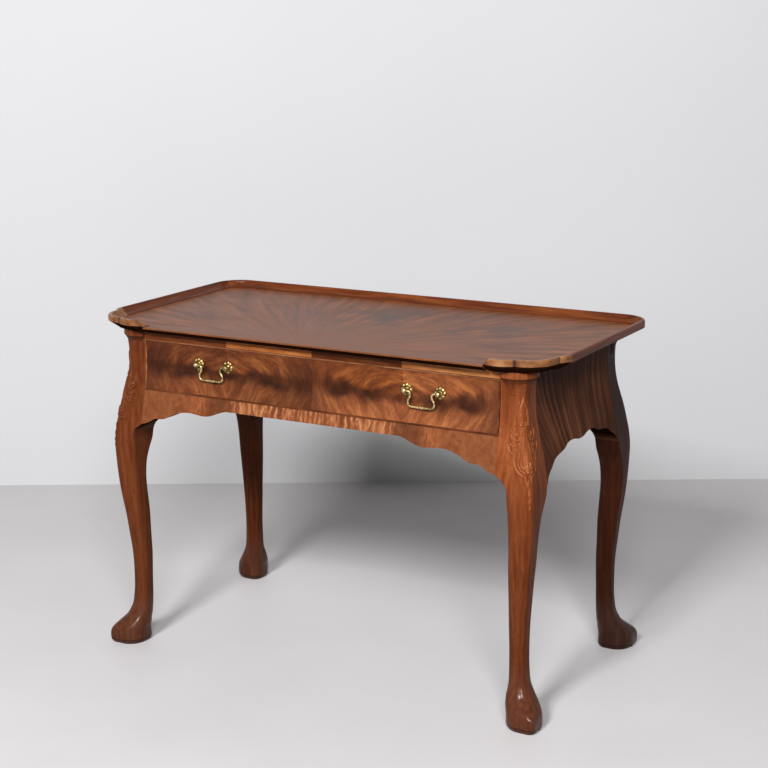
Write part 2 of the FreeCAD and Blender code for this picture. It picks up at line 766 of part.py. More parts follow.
bottom_z = drawer_z + bottom_height
bottom_half = drawer_x - drawer_side_thickness + groove_depth
bottom = box(-bottom_half, bottom_half, front_back_y - groove_depth, side_end_y, bottom_z,
             bottom_z + drawer_bottom_thickness)
write("drawer_bottom", bottom)

side = box(drawer_x - drawer_side_thickness, drawer_x, front_back_y, side_end_y, drawer_z, side_top_z)
side = side.cut(grown(bottom))
for tail in tails():
    side = side.fuse(tail)
    front = front.cut(tail).cut(mirror_x(tail))
side = side.removeSplitter()
write("drawer_side_right", side)
write("drawer_side_left", mirror_x(side))

front = front.cut(grown(bottom))
for hole in eye_holes():
    front = front.cut(hole)
write("drawer_front", front.Solids[0])

back_half = drawer_x - drawer_side_thickness
write("drawer_back", box(-back_half, back_half, side_end_y - drawer_back_thickness, side_end_y,
                         bottom_z + drawer_bottom_thickness, side_top_z - drawer_back_drop))


# Handles. Two cast brass swan-neck bails, each hung between two posts on pierced rosettes.
def rosette(place):
    """A scalloped plate with a low dome, bored for its post."""
    step = 2 * math.pi / rosette_petals
    valley = rosette_radius - rosette_notch
    edges = []
    for n in range(rosette_petals):
        a = [V(r * math.cos(t), 0, r * math.sin(t)) for r, t in
             ((valley, n * step), (rosette_radius, (n + 0.5) * step), (valley, (n + 1) * step))]
        edges.append(arc(*a))
    plate = prism(edges, V(0, -rosette_plate, 0))
    dome_y = -rosette_plate - rosette_dome_height
    dome = Part.makeCone(rosette_dome_radius, rosette_dome_radius / 2, rosette_dome_height,
                         V(0, -rosette_plate, 0), V(0, -1, 0))
    bore = Part.makeCylinder(post_stem_radius + joint_clearance, -dome_y + 2 * overrun, V(0, overrun, 0),
                             V(0, -1, 0))
    body = plate.fuse(dome).cut(bore)
    body.translate(place)
    return body.removeSplitter()


def handle_post(place, inward):
    """The bolt, neck and ball of one post. The ball is bored from its inner side for the bail."""
    neck_start = -rosette_lift - rosette_plate - rosette_dome_height - joint_clearance
    stem_end = drawer_front_thickness + post_tail
    stem = Part.makeCylinder(post_stem_radius, stem_end + eye_standoff, V(0, -eye_standoff, 0), V(0, 1, 0))
    neck = Part.makeCylinder(post_neck_radius, eye_standoff + neck_start, V(0, neck_start, 0), V(0, -1, 0))
    ball = Part.makeSphere(post_ball_radius, V(0, -eye_standoff, 0))
    bore_depth = post_ball_radius + bail_pin_depth + running_gap
    bore = Part.makeCylinder(bail_pin_radius + bail_pin_clearance, bore_depth,
                             V(inward * post_ball_radius, -eye_standoff, 0), V(-inward, 0, 0))
    body = stem.fuse(neck).fuse(ball).cut(bore)
    body.translate(place)
    return body.removeSplitter()


def handle_nut(place):
    """A square brass nut drawn up on the back of the drawer front."""
    half = nut_radius * math.sqrt(0.5)
    body = box(-half, half, 0, nut_thickness, -half, half)
    body = body.cut(Part.makeCylinder(post_stem_radius + bail_pin_clearance, nut_thickness + 2 * overrun,
                                      V(0, -overrun, 0), V(0, 1, 0)))
    body.translate(place + V(0, drawer_front_thickness, 0))
    return body


def bail_path():
    """Half of the bail's centre line, hanging from the pivot: shoulder, throat, belly and bottom bar."""
    start = eye_spread / 2 - post_ball_radius - bail_end_gap
    throat = bail_throat_width / 2
    belly = bail_belly_width / 2
    r = bail_shoulder_radius
    s = bail_corner_radius
    bend = math.sqrt(0.5)
    low = -bail_drop + s
    fall = -r - low
    turn = 2 * math.atan((belly - throat) / fall)
    sweep = fall / (2 * math.sin(turn))
    middle = V((throat + belly) / 2, 0, (-r + low) / 2)
    half_turn = turn / 2
    upper = V(throat + sweep * (1 - math.cos(half_turn)), 0, -r - sweep * math.sin(half_turn))
    lower = V(belly - sweep * (1 - math.cos(half_turn)), 0, low + sweep * math.sin(half_turn))
    return [
        line(V(start, 0, 0), V(throat + r, 0, 0)),
        arc(V(throat + r, 0, 0), V(throat + r - r * bend, 0, -r + r * bend), V(throat, 0, -r)),
        arc(V(throat, 0, -r), upper, middle),
        arc(middle, lower, V(belly, 0, low)),
        arc(V(belly, 0, low), V(belly - s + s * bend, 0, low - s * bend), V(belly - s, 0, -bail_drop)),
        line(V(belly - s, 0, -bail_drop), V(0, 0, -bail_drop)),
    ]


def bail(centre):
    """The swinging handle: a swan-neck rod with turned beads on its bottom bar and a pin at each end."""
    path = Part.Wire(bail_path())
    start = eye_spread / 2 - post_ball_radius - bail_end_gap
    ring = Part.Wire([Part.makeCircle(bail_rod_radius, V(start, 0, 0), V(1, 0, 0))])
    rod = path.makePipeShell([ring], True, False)
    pin_end = eye_spread / 2 + bail_pin_depth
    pin = Part.makeCylinder(bail_pin_radius, pin_end - start + overrun, V(start - overrun, 0, 0), V(1, 0, 0))
    half = rod.fuse(pin)
    whole = half.fuse(mirror_x(half))
    first = -bail_bead_pitch * (bail_bead_count - 1) / 2
    for n in range(bail_bead_count):
        x = first + n * bail_bead_pitch
        h = bail_bead_length / 2
        points = [V(x - h, 0, 0), V(x - h, 0, bail_rod_radius), V(x - h / 2, 0, bail_bead_radius),
                  V(x + h / 2, 0, bail_bead_radius), V(x + h, 0, bail_rod_radius), V(x + h, 0, 0)]
        bead = spun(points, V(0, 0, 0), V(1, 0, 0))
        bead.translate(V(0, 0, -bail_drop))
        whole = whole.fuse(bead)
    whole = whole.removeSplitter()
    whole.translate(V(centre, eye_y, handle_z))
    return whole.Solids[0]


for side_name, centre in zip(("left", "right"), handle_places):
    eyes = [V(centre + side * eye_spread / 2, -neck_y, handle_z) for side in (-1, 1)]
    seats = [eye - V(0, rosette_lift, 0) for eye in eyes]
    write("rosettes_" + side_name, Part.makeCompound([rosette(seat) for seat in seats]))
    posts = [handle_post(eyes[0], 1), handle_post(eyes[1], -1)]
    write("handle_posts_" + side_name, Part.makeCompound(posts))
    write("handle_nuts_" + side_name, Part.makeCompound([handle_nut(eye) for eye in eyes]))
    write("bail_" + side_name, bail(centre))
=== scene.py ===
import math
import bpy
import numpy as np
from mathutils import Matrix, Vector


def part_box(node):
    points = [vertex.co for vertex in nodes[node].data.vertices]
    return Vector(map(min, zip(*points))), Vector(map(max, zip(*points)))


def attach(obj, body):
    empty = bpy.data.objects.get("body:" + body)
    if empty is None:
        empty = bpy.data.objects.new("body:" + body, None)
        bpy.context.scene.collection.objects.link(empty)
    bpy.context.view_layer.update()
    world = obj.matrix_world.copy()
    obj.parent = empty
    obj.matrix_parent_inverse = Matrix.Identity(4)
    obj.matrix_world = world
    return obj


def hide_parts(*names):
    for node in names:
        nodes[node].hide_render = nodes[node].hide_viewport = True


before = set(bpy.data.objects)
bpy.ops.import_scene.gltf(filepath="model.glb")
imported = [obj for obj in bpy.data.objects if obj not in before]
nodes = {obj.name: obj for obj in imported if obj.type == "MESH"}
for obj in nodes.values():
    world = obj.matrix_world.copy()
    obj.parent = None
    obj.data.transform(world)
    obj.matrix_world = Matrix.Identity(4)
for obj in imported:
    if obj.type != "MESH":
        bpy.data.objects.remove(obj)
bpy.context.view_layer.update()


# Cabriole legs. Each is one stick of solid mahogany, sawn to a square post, a swelling knee and a thin
# ankle, then rasped round, scraped and French polished. The grain runs straight down the stick.
def linear(code):
    """The linear colour of an sRGB hex code, with full alpha."""
    srgb = np.array([int(code[i:i + 2], 16) / 255 for i in (1, 3, 5)])
    rgb = np.where(srgb <= 0.04045, srgb / 12.92, ((srgb + 0.055) / 1.055) ** 2.4)
    return (*rgb.tolist(), 1.0)


def add(tree, kind, inputs=(), stops=(), **settings):
    """One node with its settings, its ramp's stops, and values or links for its inputs."""
    node = tree.nodes.new(kind)
    for name, value in settings.items():
        setattr(node, name, value)
    for n, (place, code) in enumerate(stops):
        stop = node.color_ramp.elements[n] if n < 2 else node.color_ramp.elements.new(place)
        stop.position, stop.color = place, linear(code)
    for key, value in dict(inputs).items():
        if isinstance(value, bpy.types.NodeSocket):
            tree.links.new(value, node.inputs[key])
        else:
            node.inputs[key].default_value = value
    return node


def waves(size_mm):
    """A noise's scale from the real size of its waves: how many of them go into a metre."""
    return 1000 / size_mm


def new_finish(name):
    """A new material, its node tree and shader, and the Object coordinates that its pattern reads."""
    material = bpy.data.materials.new(name)
    material.use_nodes = True
    tree = material.node_tree
    return material, tree, tree.nodes["Principled BSDF"], add(tree, "ShaderNodeTexCoord").outputs["Object"]


def wandering(tree, place, wave_mm, detail, reach):
    """Coordinates that a soft noise sways by up to about half of reach each way, and the noise's value."""
    noise = add(tree, "ShaderNodeTexNoise", {"Vector": place, "Scale": waves(wave_mm), "Detail": detail})
    shift = add(tree, "ShaderNodeVectorMath", {0: noise.outputs["Color"], 1: (0.5, 0.5, 0.5)},
                operation="SUBTRACT")
    moved = add(tree, "ShaderNodeVectorMath", {0: shift.outputs[0], 1: reach, 2: place},
                operation="MULTIPLY_ADD")
    return moved.outputs[0], noise.outputs["Fac"]


under_shade_starts, under_shade_full = -0.35, -0.75


def shaded_edge(tree, colour, edge, shine=0.1, coat=0.0):
    """Painted shade where the surface faces down: its colour goes to the dark edge colour, and its shine and
    coat fall away.
    """
    shader = tree.nodes["Principled BSDF"]
    normal = add(tree, "ShaderNodeNewGeometry").outputs["Normal"]
    facing = add(tree, "ShaderNodeSeparateXYZ", {0: normal})
    under = add(tree, "ShaderNodeMapRange", {"Value": facing.outputs["Z"], "From Min": under_shade_starts,
                                             "From Max": under_shade_full})
    # Painted shade: the colour turns to the edge colour as the face turns down.
    stained = add(tree, "ShaderNodeMix", {0: under.outputs[0], 6: colour, 7: linear(edge)},
                  data_type="RGBA")
    for socket, full in (("Specular IOR Level", shine), ("Coat Weight", coat)):
        left = add(tree, "ShaderNodeMapRange", {"Value": under.outputs[0], "To Min": full, "To Max": 0.0})
        shader.inputs[socket].default_value = full
        tree.links.new(left.outputs[0], shader.inputs[socket])
    tree.links.new(stained.outputs[2], shader.inputs["Base Color"])


pore_mm, pore_stretch, polish_spread = 0.9, 0.7, 0.07


def polished_wood(name, dark, middle, light, grain, figure_mm, fibre_mm, polish=0.4, coat=0.08, seed=0.0):
    """Solid wood under polish: soft growth streaks, fine fibres, short dark pores, and painted shade on faces
    turned down.

    Grain gives how fast the pattern changes along each axis, and is small along the fibres.
    """
    material, tree, shader, place = new_finish(name)
    swayed, _ = wandering(tree, place, wave_mm=160, detail=2.0, reach=(0.022, 0.022, 0.022))
    along = add(tree, "ShaderNodeMapping", {"Vector": swayed, "Location": (seed, seed, seed),
                                            "Scale": grain})
    figure = add(tree, "ShaderNodeTexNoise", {"Vector": along.outputs[0], "Scale": waves(figure_mm),
                                              "Detail": 2.0, "Roughness": 0.45})
    fibre = add(tree, "ShaderNodeTexNoise", {"Vector": along.outputs[0], "Scale": waves(fibre_mm),
                                             "Detail": 3.0, "Roughness": 0.7})
    short = add(tree, "ShaderNodeMapping", {"Vector": place, "Scale": [g ** pore_stretch for g in grain]})
    pore = add(tree, "ShaderNodeTexNoise", {"Vector": short.outputs[0], "Scale": waves(pore_mm),
                                            "Detail": 1.0})
    colour = add(tree, "ShaderNodeValToRGB", {"Fac": figure.outputs["Fac"]},
                 stops=((0.28, dark), (0.74, light), (0.50, middle)))
    thread = add(tree, "ShaderNodeMapRange", {"Value": fibre.outputs["Fac"], "From Min": 0.3, "From Max": 0.7,
                                              "To Min": 0.80, "To Max": 1.16})
    pits = add(tree, "ShaderNodeMapRange", {"Value": pore.outputs["Fac"], "From Min": 0.30, "From Max": 0.42,
                                            "To Min": 0.66, "To Max": 1.0})
    grey = add(tree, "ShaderNodeMath", {0: thread.outputs[0], 1: pits.outputs[0]}, operation="MULTIPLY")
    cut = add(tree, "ShaderNodeVectorMath", {0: colour.outputs[0], 1: grey.outputs[0]},
              operation="MULTIPLY")
    gloss = add(tree, "ShaderNodeMapRange", {"Value": figure.outputs["Fac"], "To Min": polish + polish_spread,
                                             "To Max": polish - polish_spread})
    bump = add(tree, "ShaderNodeBump", {"Height": grey.outputs[0], "Strength": 0.25, "Distance": 0.0003})
    # Painted shade on the faces that turn down.
    shaded_edge(tree, cut.outputs[0], edge="#3a2014", shine=0.05, coat=coat)
    tree.links.new(gloss.outputs[0], shader.inputs["Roughness"])
    tree.links.new(bump.outputs[0], shader.inputs["Normal"])
    shader.inputs["Coat Roughness"].default_value = 0.1
    return material


def dress(material, *names):
    """Gives a material to every slot of the named CAD nodes."""
    for name in names:
        for slot in nodes[name].material_slots:
            slot.material = material


def opened(material):
    """A finished wood's node tree and shader, the socket that gives its colour, and its X, Y and Z."""
    tree = material.node_tree
    shader = tree.nodes["Principled BSDF"]
    parts = add(tree, "ShaderNodeSeparateXYZ", {0: add(tree, "ShaderNodeTexCoord").outputs["Object"]})
    return tree, shader, shader.inputs["Base Color"].links[0].from_socket, parts.outputs


table_height = 0.72
grain_up_leg = (1, 1, 0.03)
# The dark line round the sole pad is painted shade in the pad's crease.
pad_crease, crease_half_width, crease_reach, crease_shade_share = 0.0085, 0.0005, 0.0022, 0.25
brightest_tone = 1.6
glossy_below, dull_above, foot_coat, leg_coat = 0.075, 0.12, 0.35, 0.03


def leg_with_painted_light(name, dark, middle, light, tones):
    """A leg's wood, lighter and darker by height, with a glossy foot and a painted shade line round its sole
    pad.
    """
    material = polished_wood(name, dark, middle, light, grain_up_leg, figure_mm=8, fibre_mm=1.1)
    tree, shader, wood, parts = opened(material)
    place = add(tree, "ShaderNodeMapRange", {"Value": parts["Z"], "From Max": table_height})
    tone = add(tree, "ShaderNodeValToRGB", {"Fac": place.outputs[0]}, stops=tones)
    off = add(tree, "ShaderNodeMath", {0: parts["Z"], 1: pad_crease}, operation="SUBTRACT")
    beside = add(tree, "ShaderNodeMath", {0: off.outputs[0]}, operation="ABSOLUTE")
    crease = add(tree, "ShaderNodeMapRange", {"Value": beside.outputs[0], "From Min": crease_half_width,
                                              "From Max": crease_reach,
                                              "To Min": crease_shade_share * brightest_tone,
                                              "To Max": brightest_tone})
    dim = add(tree, "ShaderNodeVectorMath", {0: tone.outputs[0], 1: crease.outputs[0]}, operation="MULTIPLY")
    shaded = add(tree, "ShaderNodeVectorMath", {0: wood, 1: dim.outputs[0]}, operation="MULTIPLY")
    foot = add(tree, "ShaderNodeMapRange", {"Value": parts["Z"], "From Min": glossy_below,
                                            "From Max": dull_above, "To Min": foot_coat,
                                            "To Max": leg_coat})
    tree.links.new(shaded.outputs[0], shader.inputs["Base Color"])
    shader.inputs["Coat Weight"].default_value = 0.1
    tree.links.new(foot.outputs[0], shader.inputs["Coat Weight"])
    shader.inputs["Coat Roughness"].default_value = 0.17
    return material


# Each leg's tones run from the floor to the top, as shares of its height, and are parts of the brightest.
# The front right leg is lighter at the knee, a painted highlight, and the back legs' tones are painted shade.
knee_painted_highlight = ((0.000, "#989a9a"), (0.950, "#e9f2ff"), (0.167, "#a2a2a2"), (0.556, "#c8c8c8"),
               (0.639, "#d1d1d1"), (0.736, "#f0f8fb"), (0.833, "#e9edf0"), (0.889, "#d4d4d4"),
               (0.931, "#c8c8c8"))
darker_at_foot = ((0.000, "#9a9e9e"), (0.950, "#c8cdcf"), (0.167, "#a7a7a7"), (0.556, "#c6c6c6"),
               (0.694, "#c0c0c0"), (0.833, "#c2c2c2"), (0.917, "#c6c6c6"))
left_in_shade = ((0.000, "#a5a5a5"), (0.972, "#868686"), (0.167, "#acacac"), (0.458, "#c8c8c8"),
                 (0.625, "#a5a5a5"), (0.722, "#868686"))
right_in_shade = ((0.000, "#a5a5a5"), (0.972, "#a5a5a5"), (0.167, "#acacac"), (0.486, "#cacaca"),
                  (0.625, "#aeaeae"), (0.722, "#8c8c8c"))
dress(leg_with_painted_light("polished_mahogany_right_leg", "#662e16", "#773c1d", "#89492a", knee_painted_highlight),
      "leg_front_right")
dress(leg_with_painted_light("polished_mahogany_left_leg", "#612b15", "#713a1c", "#824528", darker_at_foot), "leg_front_left")
# The back legs' wood is darker still: painted shade under the table.
dress(leg_with_painted_light("back_left_leg_painted_shade", "#542410", "#623016", "#723d1e", left_in_shade), "leg_back_left")
dress(leg_with_painted_light("back_right_leg_painted_shade", "#3d160a", "#47200f", "#532b15", right_in_shade), "leg_back_right")


# Knee carving. A C-scroll, a shell and a long scroll on each side of the knee's arris, with a husk and
# bellflowers down its middle. They stand up to two millimetres proud and are cut from the leg's own
# mahogany, painted lighter on the right knee as a painted highlight where that knee catches the light.
MM = 0.001
leg_height_mm, neck_x_mm, neck_y_mm, post_side_mm, swell_mm = 692, 459.3, 225.3, 49.0, 28.3
knee_heights_mm = leg_height_mm * np.array((0.636, 0.675, 0.699, 0.7165, 0.744, 0.78, 0.824, 0.867, 0.896,
                                            0.925, 0.965))
knee_swells_mm = swell_mm * np.array((1.0, 0.953, 0.878, 0.805, 0.69, 0.52, 0.27, 0.085, 0.02, 0.0, 0.05))
arris_radii_mm = post_side_mm * np.array((0.33, 0.32, 0.3, 0.292, 0.28, 0.265, 0.255, 0.245, 0.245, 0.245,
                                          0.245))
profile_degree = 8
carving_half_width_mm, carving_low_mm, carving_high_mm, carving_step_mm = 46, 434, 644, 0.8
sunk_depth_mm, carving_backing_mm = 0.6, 0.8
relief_share, ground_share = 0.8, 0.9
# Each stroke has its half width and its height, then its points: the way round from the arris, and up.
# These and the bosses are in millimetres.
carved_strokes = [
    (2.6, 2.1, ((3, 597), (4, 592), (8, 591), (10, 597), (10, 608), (7, 620), (3, 631), (0, 641))),
    (1.6, 1.3, ((9, 634), (14, 620), (15.5, 607), (14, 595), (11, 587))),
    (1.5, 1.2, ((26, 584), (22, 590), (15, 590), (12, 585))),
    (2.1, 1.9, ((28, 581), (30, 574), (27, 566), (19, 562), (12, 566), (8, 574))),
    (2.5, 1.9, ((37, 554), (36, 545), (30, 538), (24, 537), (18, 541), (13, 550))),
    (2.0, 1.6, ((31, 556), (27, 551), (22, 556), (17, 552), (13, 558))),
    (3.0, 2.4, ((2, 586), (3, 572), (6, 556), (10, 539), (13, 527), (13, 518), (8, 514), (4, 518), (6, 523))),
    (2.3, 1.6, ((26, 536), (27, 524), (25, 513), (19, 504), (12, 500))),
    (1.8, 1.5, ((19, 531), (20, 520), (15, 510), (7, 507))),
    (1.2, 0.8, ((7, 500), (5, 490), (2, 480))),
]
# Each boss has its half width, half height and rise, then its place.
carved_bosses = [
    (5.5, 5.5, 2.8, 18, 574), (4.2, 9.0, 2.4, 0, 516), (2.8, 3.4, 2.9, 0, 524), (2.6, 3.0, 2.7, 0, 508),
    (2.8, 6.5, 1.7, 0, 487), (2.5, 6.0, 1.6, 0, 469), (2.1, 5.0, 1.4, 0, 454), (1.6, 4.0, 1.2, 0, 442),
    (2.2, 4.5, 1.7, 6, 610), (2.0, 4.0, 1.5, 21, 546),
]


def carved_height(across, up):
    """How far the carving stands off the leg: rounded strokes and bosses, cut off square at their feet."""
    relief = np.full(across.shape, -sunk_depth_mm)
    for half_width, rise, points in carved_strokes:
        for (u0, z0), (u1, z1) in zip(points, points[1:]):
            run = (u1 - u0) ** 2 + (z1 - z0) ** 2
            share = np.clip(((across - u0) * (u1 - u0) + (up - z0) * (z1 - z0)) / run, 0, 1)
            away = np.hypot(across - u0 - share * (u1 - u0), up - z0 - share * (z1 - z0))
            relief = np.maximum(relief, relief_share * rise * (1 - (away / half_width) ** 2))
    for half_width, half_height, rise, u0, z0 in carved_bosses:
        away = np.hypot((across - u0) / half_width, (up - z0) / half_height)
        relief = np.maximum(relief, relief_share * rise * (1 - away ** 2))
    return relief


def knee_point(round_arris, up, proud):
    """A point of the front knee: front face, round arris and side face, from the way round the arris."""
    profile = np.polynomial.Polynomial.fit(knee_heights_mm, knee_swells_mm, profile_degree)(up)
    radius = np.interp(up, knee_heights_mm, arris_radii_mm)
    half_arc = radius * np.pi / 4
    angle = -np.pi / 4 - np.clip(round_arris / radius, -np.pi / 4, np.pi / 4)
    flat = round_arris - np.clip(round_arris, -half_arc, half_arc)
    x = neck_x_mm + profile - radius + (radius + proud) * np.cos(angle) - np.maximum(flat, 0)
    y = -neck_y_mm - profile + radius + (radius + proud) * np.sin(angle) + np.maximum(-flat, 0)
    return np.stack([x, y, up], axis=-1) * MM


def add_piece(name, points, faces, material, body):
    """A new piece from its points and faces, with its material and the body it rides on."""
    mesh = bpy.data.meshes.new(name)
    mesh.from_pydata(points.tolist(), [], faces.tolist())
    mesh.polygons.foreach_set("use_smooth", [True] * len(mesh.polygons))
    mesh.materials.append(material)
    piece = bpy.data.objects.new(name, mesh)
    bpy.context.scene.collection.objects.link(piece)
    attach(piece, body)
    return piece


def grid_faces(rows, columns, wrap_rows=False, wrap_columns=False):
    """Four-sided faces between neighbours of a grid of points, row by row."""
    index = np.arange(rows * columns).reshape(rows, columns)
    if wrap_rows:
        index = np.vstack([index, index[:1]])
    if wrap_columns:
        index = np.hstack([index, index[:, :1]])
    corners = [index[:-1, :-1], index[:-1, 1:], index[1:, 1:], index[1:, :-1]]
    return np.stack(corners, axis=-1).reshape(-1, 4)


carving_u, carving_z = np.meshgrid(
    np.arange(-carving_half_width_mm, carving_half_width_mm, carving_step_mm),
    np.arange(carving_low_mm, carving_high_mm, carving_step_mm))
relief = carved_height(np.abs(carving_u), carving_z)
relief_points = knee_point(carving_u, carving_z, relief).reshape(-1, 3)
relief_faces = grid_faces(*carving_u.shape)
standing = relief.reshape(-1)[relief_faces].max(axis=1) > -sunk_depth_mm * ground_share
used, relief_faces = np.unique(relief_faces[standing], return_inverse=True)
relief_faces = relief_faces.reshape(-1, 4)
relief_points = relief_points[used]
carved_grain = (1, 1, 0.1)
# The right knee's carving is a lighter copy of the wood: a painted highlight.
highlit_carving = polished_wood("mahogany_carving_painted_highlight", "#75391b", "#91502b", "#a8663c", carved_grain,
                               figure_mm=8, fibre_mm=1.1)
plain_carving = polished_wood("plain_mahogany_carving", "#54260f", "#683318", "#7a4222", carved_grain,
                             figure_mm=8, fibre_mm=1.1)
for side, sign, carved_wood in (("left", -1, plain_carving), ("right", 1, highlit_carving)):
    sided = relief_points * (sign, 1, 1)
    carving = add_piece("knee_carving_" + side, sided, relief_faces[:, ::-sign], carved_wood,
                        "table")
    body = carving.modifiers.new("body", "SOLIDIFY")
    body.thickness = carving_backing_mm * MM
    body.offset = -1


# Tray top. A wide figured board, waxed flat, with a coved rim let into its edges and carved lobes at the
# two front corners. The field is duller and cooler than the rim, because it meets the light flat on.
fan_hub_forward = 0.285
fan_spread, fan_stretch, calm_figure = 0.34, 0.10, 0.52
plume_place, plume_shares = (0.09, 0.05, 0.705), (3.0, 6.5, 1.0)


def tray_field():
    """Book-matched figure that fans out from the middle of the front edge, with a dark plume behind it."""
    material, tree, shader, place = new_finish("waxed_mahogany_field")
    rolled, _ = wandering(tree, place, wave_mm=110, detail=2.0, reach=(0.020, 0.030, 0))
    parts = add(tree, "ShaderNodeSeparateXYZ", {0: rolled})
    apart = add(tree, "ShaderNodeMath", {0: parts.outputs["X"]}, operation="ABSOLUTE")
    behind = add(tree, "ShaderNodeMath", {0: parts.outputs["Y"], 1: fan_hub_forward}, operation="ADD")
    angle = add(tree, "ShaderNodeMath", {0: behind.outputs[0], 1: apart.outputs[0]}, operation="ARCTAN2")
    swung = add(tree, "ShaderNodeMath", {0: angle.outputs[0], 1: fan_spread}, operation="MULTIPLY")
    flat = add(tree, "ShaderNodeCombineXYZ", {"X": apart.outputs[0], "Y": behind.outputs[0]})
    reach = add(tree, "ShaderNodeVectorMath", {0: flat.outputs[0]}, operation="LENGTH")
    drawn = add(tree, "ShaderNodeMath", {0: reach.outputs["Value"], 1: fan_stretch}, operation="MULTIPLY")
    fan = add(tree, "ShaderNodeCombineXYZ", {"X": swung.outputs[0], "Y": drawn.outputs[0]})
    figure = add(tree, "ShaderNodeTexNoise", {"Vector": fan.outputs[0], "Scale": waves(16), "Detail": 3.0,
                                              "Roughness": 0.55})
    fibre = add(tree, "ShaderNodeTexNoise", {"Vector": fan.outputs[0], "Scale": waves(2.2), "Detail": 3.0})
    cloud = add(tree, "ShaderNodeTexNoise", {"Vector": rolled, "Scale": waves(75), "Detail": 3.0})
    hub = add(tree, "ShaderNodeVectorMath", {0: place, 1: plume_place}, operation="SUBTRACT")
    oval = add(tree, "ShaderNodeVectorMath", {0: hub.outputs[0], 1: plume_shares}, operation="MULTIPLY")
    away = add(tree, "ShaderNodeVectorMath", {0: oval.outputs[0]}, operation="LENGTH")
    plume = add(tree, "ShaderNodeMapRange", {"Value": away.outputs["Value"], "From Min": 0.2, "From Max": 1.2,
                                             "To Min": 1.0, "To Max": 0.15}, interpolation_type="SMOOTHSTEP")
    patchy = add(tree, "ShaderNodeMapRange", {"Value": cloud.outputs["Fac"], "From Min": 0.42,
                                              "From Max": 0.62})
    smoke = add(tree, "ShaderNodeMath", {0: plume.outputs[0], 1: patchy.outputs[0]}, operation="MULTIPLY")
    clear = add(tree, "ShaderNodeMapRange", {"Value": reach.outputs["Value"], "From Min": 0.06,
                                             "From Max": 0.42, "To Min": 0.25, "To Max": 1.0},
                interpolation_type="SMOOTHSTEP")
    faded = add(tree, "ShaderNodeMix", {0: clear.outputs[0], 2: calm_figure, 3: figure.outputs["Fac"]})
    colour = add(tree, "ShaderNodeValToRGB", {"Fac": faded.outputs[0]},
                 stops=((0.28, "#56301b"), (0.74, "#965832"), (0.50, "#754325")))
    veiled = add(tree, "ShaderNodeMix", {0: smoke.outputs[0], 6: colour.outputs[0], 7: linear("#45291c")},
                 data_type="RGBA")
    thread = add(tree, "ShaderNodeMapRange", {"Value": fibre.outputs["Fac"], "From Min": 0.3, "From Max": 0.7,
                                              "To Min": 0.86, "To Max": 1.12})
    cut = add(tree, "ShaderNodeVectorMath", {0: veiled.outputs[2], 1: thread.outputs[0]},
              operation="MULTIPLY")
    wax = add(tree, "ShaderNodeMapRange", {"Value": cloud.outputs["Fac"], "To Min": 0.42, "To Max": 0.30})
    bump = add(tree, "ShaderNodeBump", {"Height": fibre.outputs["Fac"], "Strength": 0.12, "Distance": 0.0003})
    # Painted shade on the board's under-bevel and other faces that turn down.
    shaded_edge(tree, cut.outputs[0], edge="#2c170d", shine=0.10, coat=0.02)
    tree.links.new(wax.outputs[0], shader.inputs["Roughness"])
    tree.links.new(bump.outputs[0], shader.inputs["Normal"])
    shader.inputs["Coat Roughness"].default_value = 0.25
    return material


dress(tray_field(), "top_panel")
grain_along, grain_across = (0.05, 1, 1), (1, 0.05, 1)
rim_tones = ("#471f0c", "#6a3215", "#82461f")
rim_along = polished_wood("polished_mahogany_rim", *rim_tones, grain_along, figure_mm=10, fibre_mm=1.4,
                          coat=0.15, seed=3.1)
rim_across = polished_wood("polished_mahogany_side_rim", *rim_tones, grain_across, figure_mm=10, fibre_mm=1.4,
                           coat=0.25, seed=5.7)
lobe_notches = ((0.452, -0.2556, 0), (0.512, -0.1931, 0))
# The dark lines in the notches between the lobes are painted shade.
notch_half_width, notch_reach, notch_shade_share = 0.001, 0.005, 0.28


def carved_lobe():
    """The lobes' wood, lighter than the rim's, with painted shade in the notches between them."""
    material = polished_wood("carved_mahogany_lobe", "#65391f", "#8a5833", "#aa774c", (0.5, 0.5, 1),
                             figure_mm=12, fibre_mm=1.2, coat=0.3, seed=8.3)
    tree, shader, wood, parts = opened(material)
    out = add(tree, "ShaderNodeMath", {0: parts["X"]}, operation="ABSOLUTE")
    flat = add(tree, "ShaderNodeCombineXYZ", {"X": out.outputs[0], "Y": parts["Y"]})
    for notch in lobe_notches:
        off = add(tree, "ShaderNodeVectorMath", {0: flat.outputs[0], 1: notch}, operation="DISTANCE")
        unshaded = add(tree, "ShaderNodeMapRange", {"Value": off.outputs["Value"], "From Min": notch_half_width,
                                                 "From Max": notch_reach, "To Min": notch_shade_share,
                                                 "To Max": 1.0}, interpolation_type="SMOOTHSTEP")
        notch_shaded = add(tree, "ShaderNodeVectorMath", {0: wood, 1: unshaded.outputs[0]}, operation="MULTIPLY")
        wood = notch_shaded.outputs[0]
    tree.links.new(wood, shader.inputs["Base Color"])
    return material


dress(rim_along, "rim_back", "rim_corner_left", "rim_corner_right")
dress(rim_across, "rim_left", "rim_right")
dress(carved_lobe(), "carved_corner_left", "carved_corner_right")


# Case. Three shaped boards faced with mahogany veneer, and a plain stained one at the back, all tenoned
# into the legs. The front board's veneer is laid cross-grain, with wavy stripes in its middle. The side
# boards' stripes fan out from the front post. Their tones are painted shade, darker still under the top.
def polished_veneer(name, polish):
    """A veneer's material with its polish, its node tree and shader, and its Object coordinates."""
    material, tree, shader, place = new_finish(name)
    shader.inputs["Roughness"].default_value = polish
    shader.inputs["Coat Roughness"].default_value = 0.1
    return material, tree, shader, place


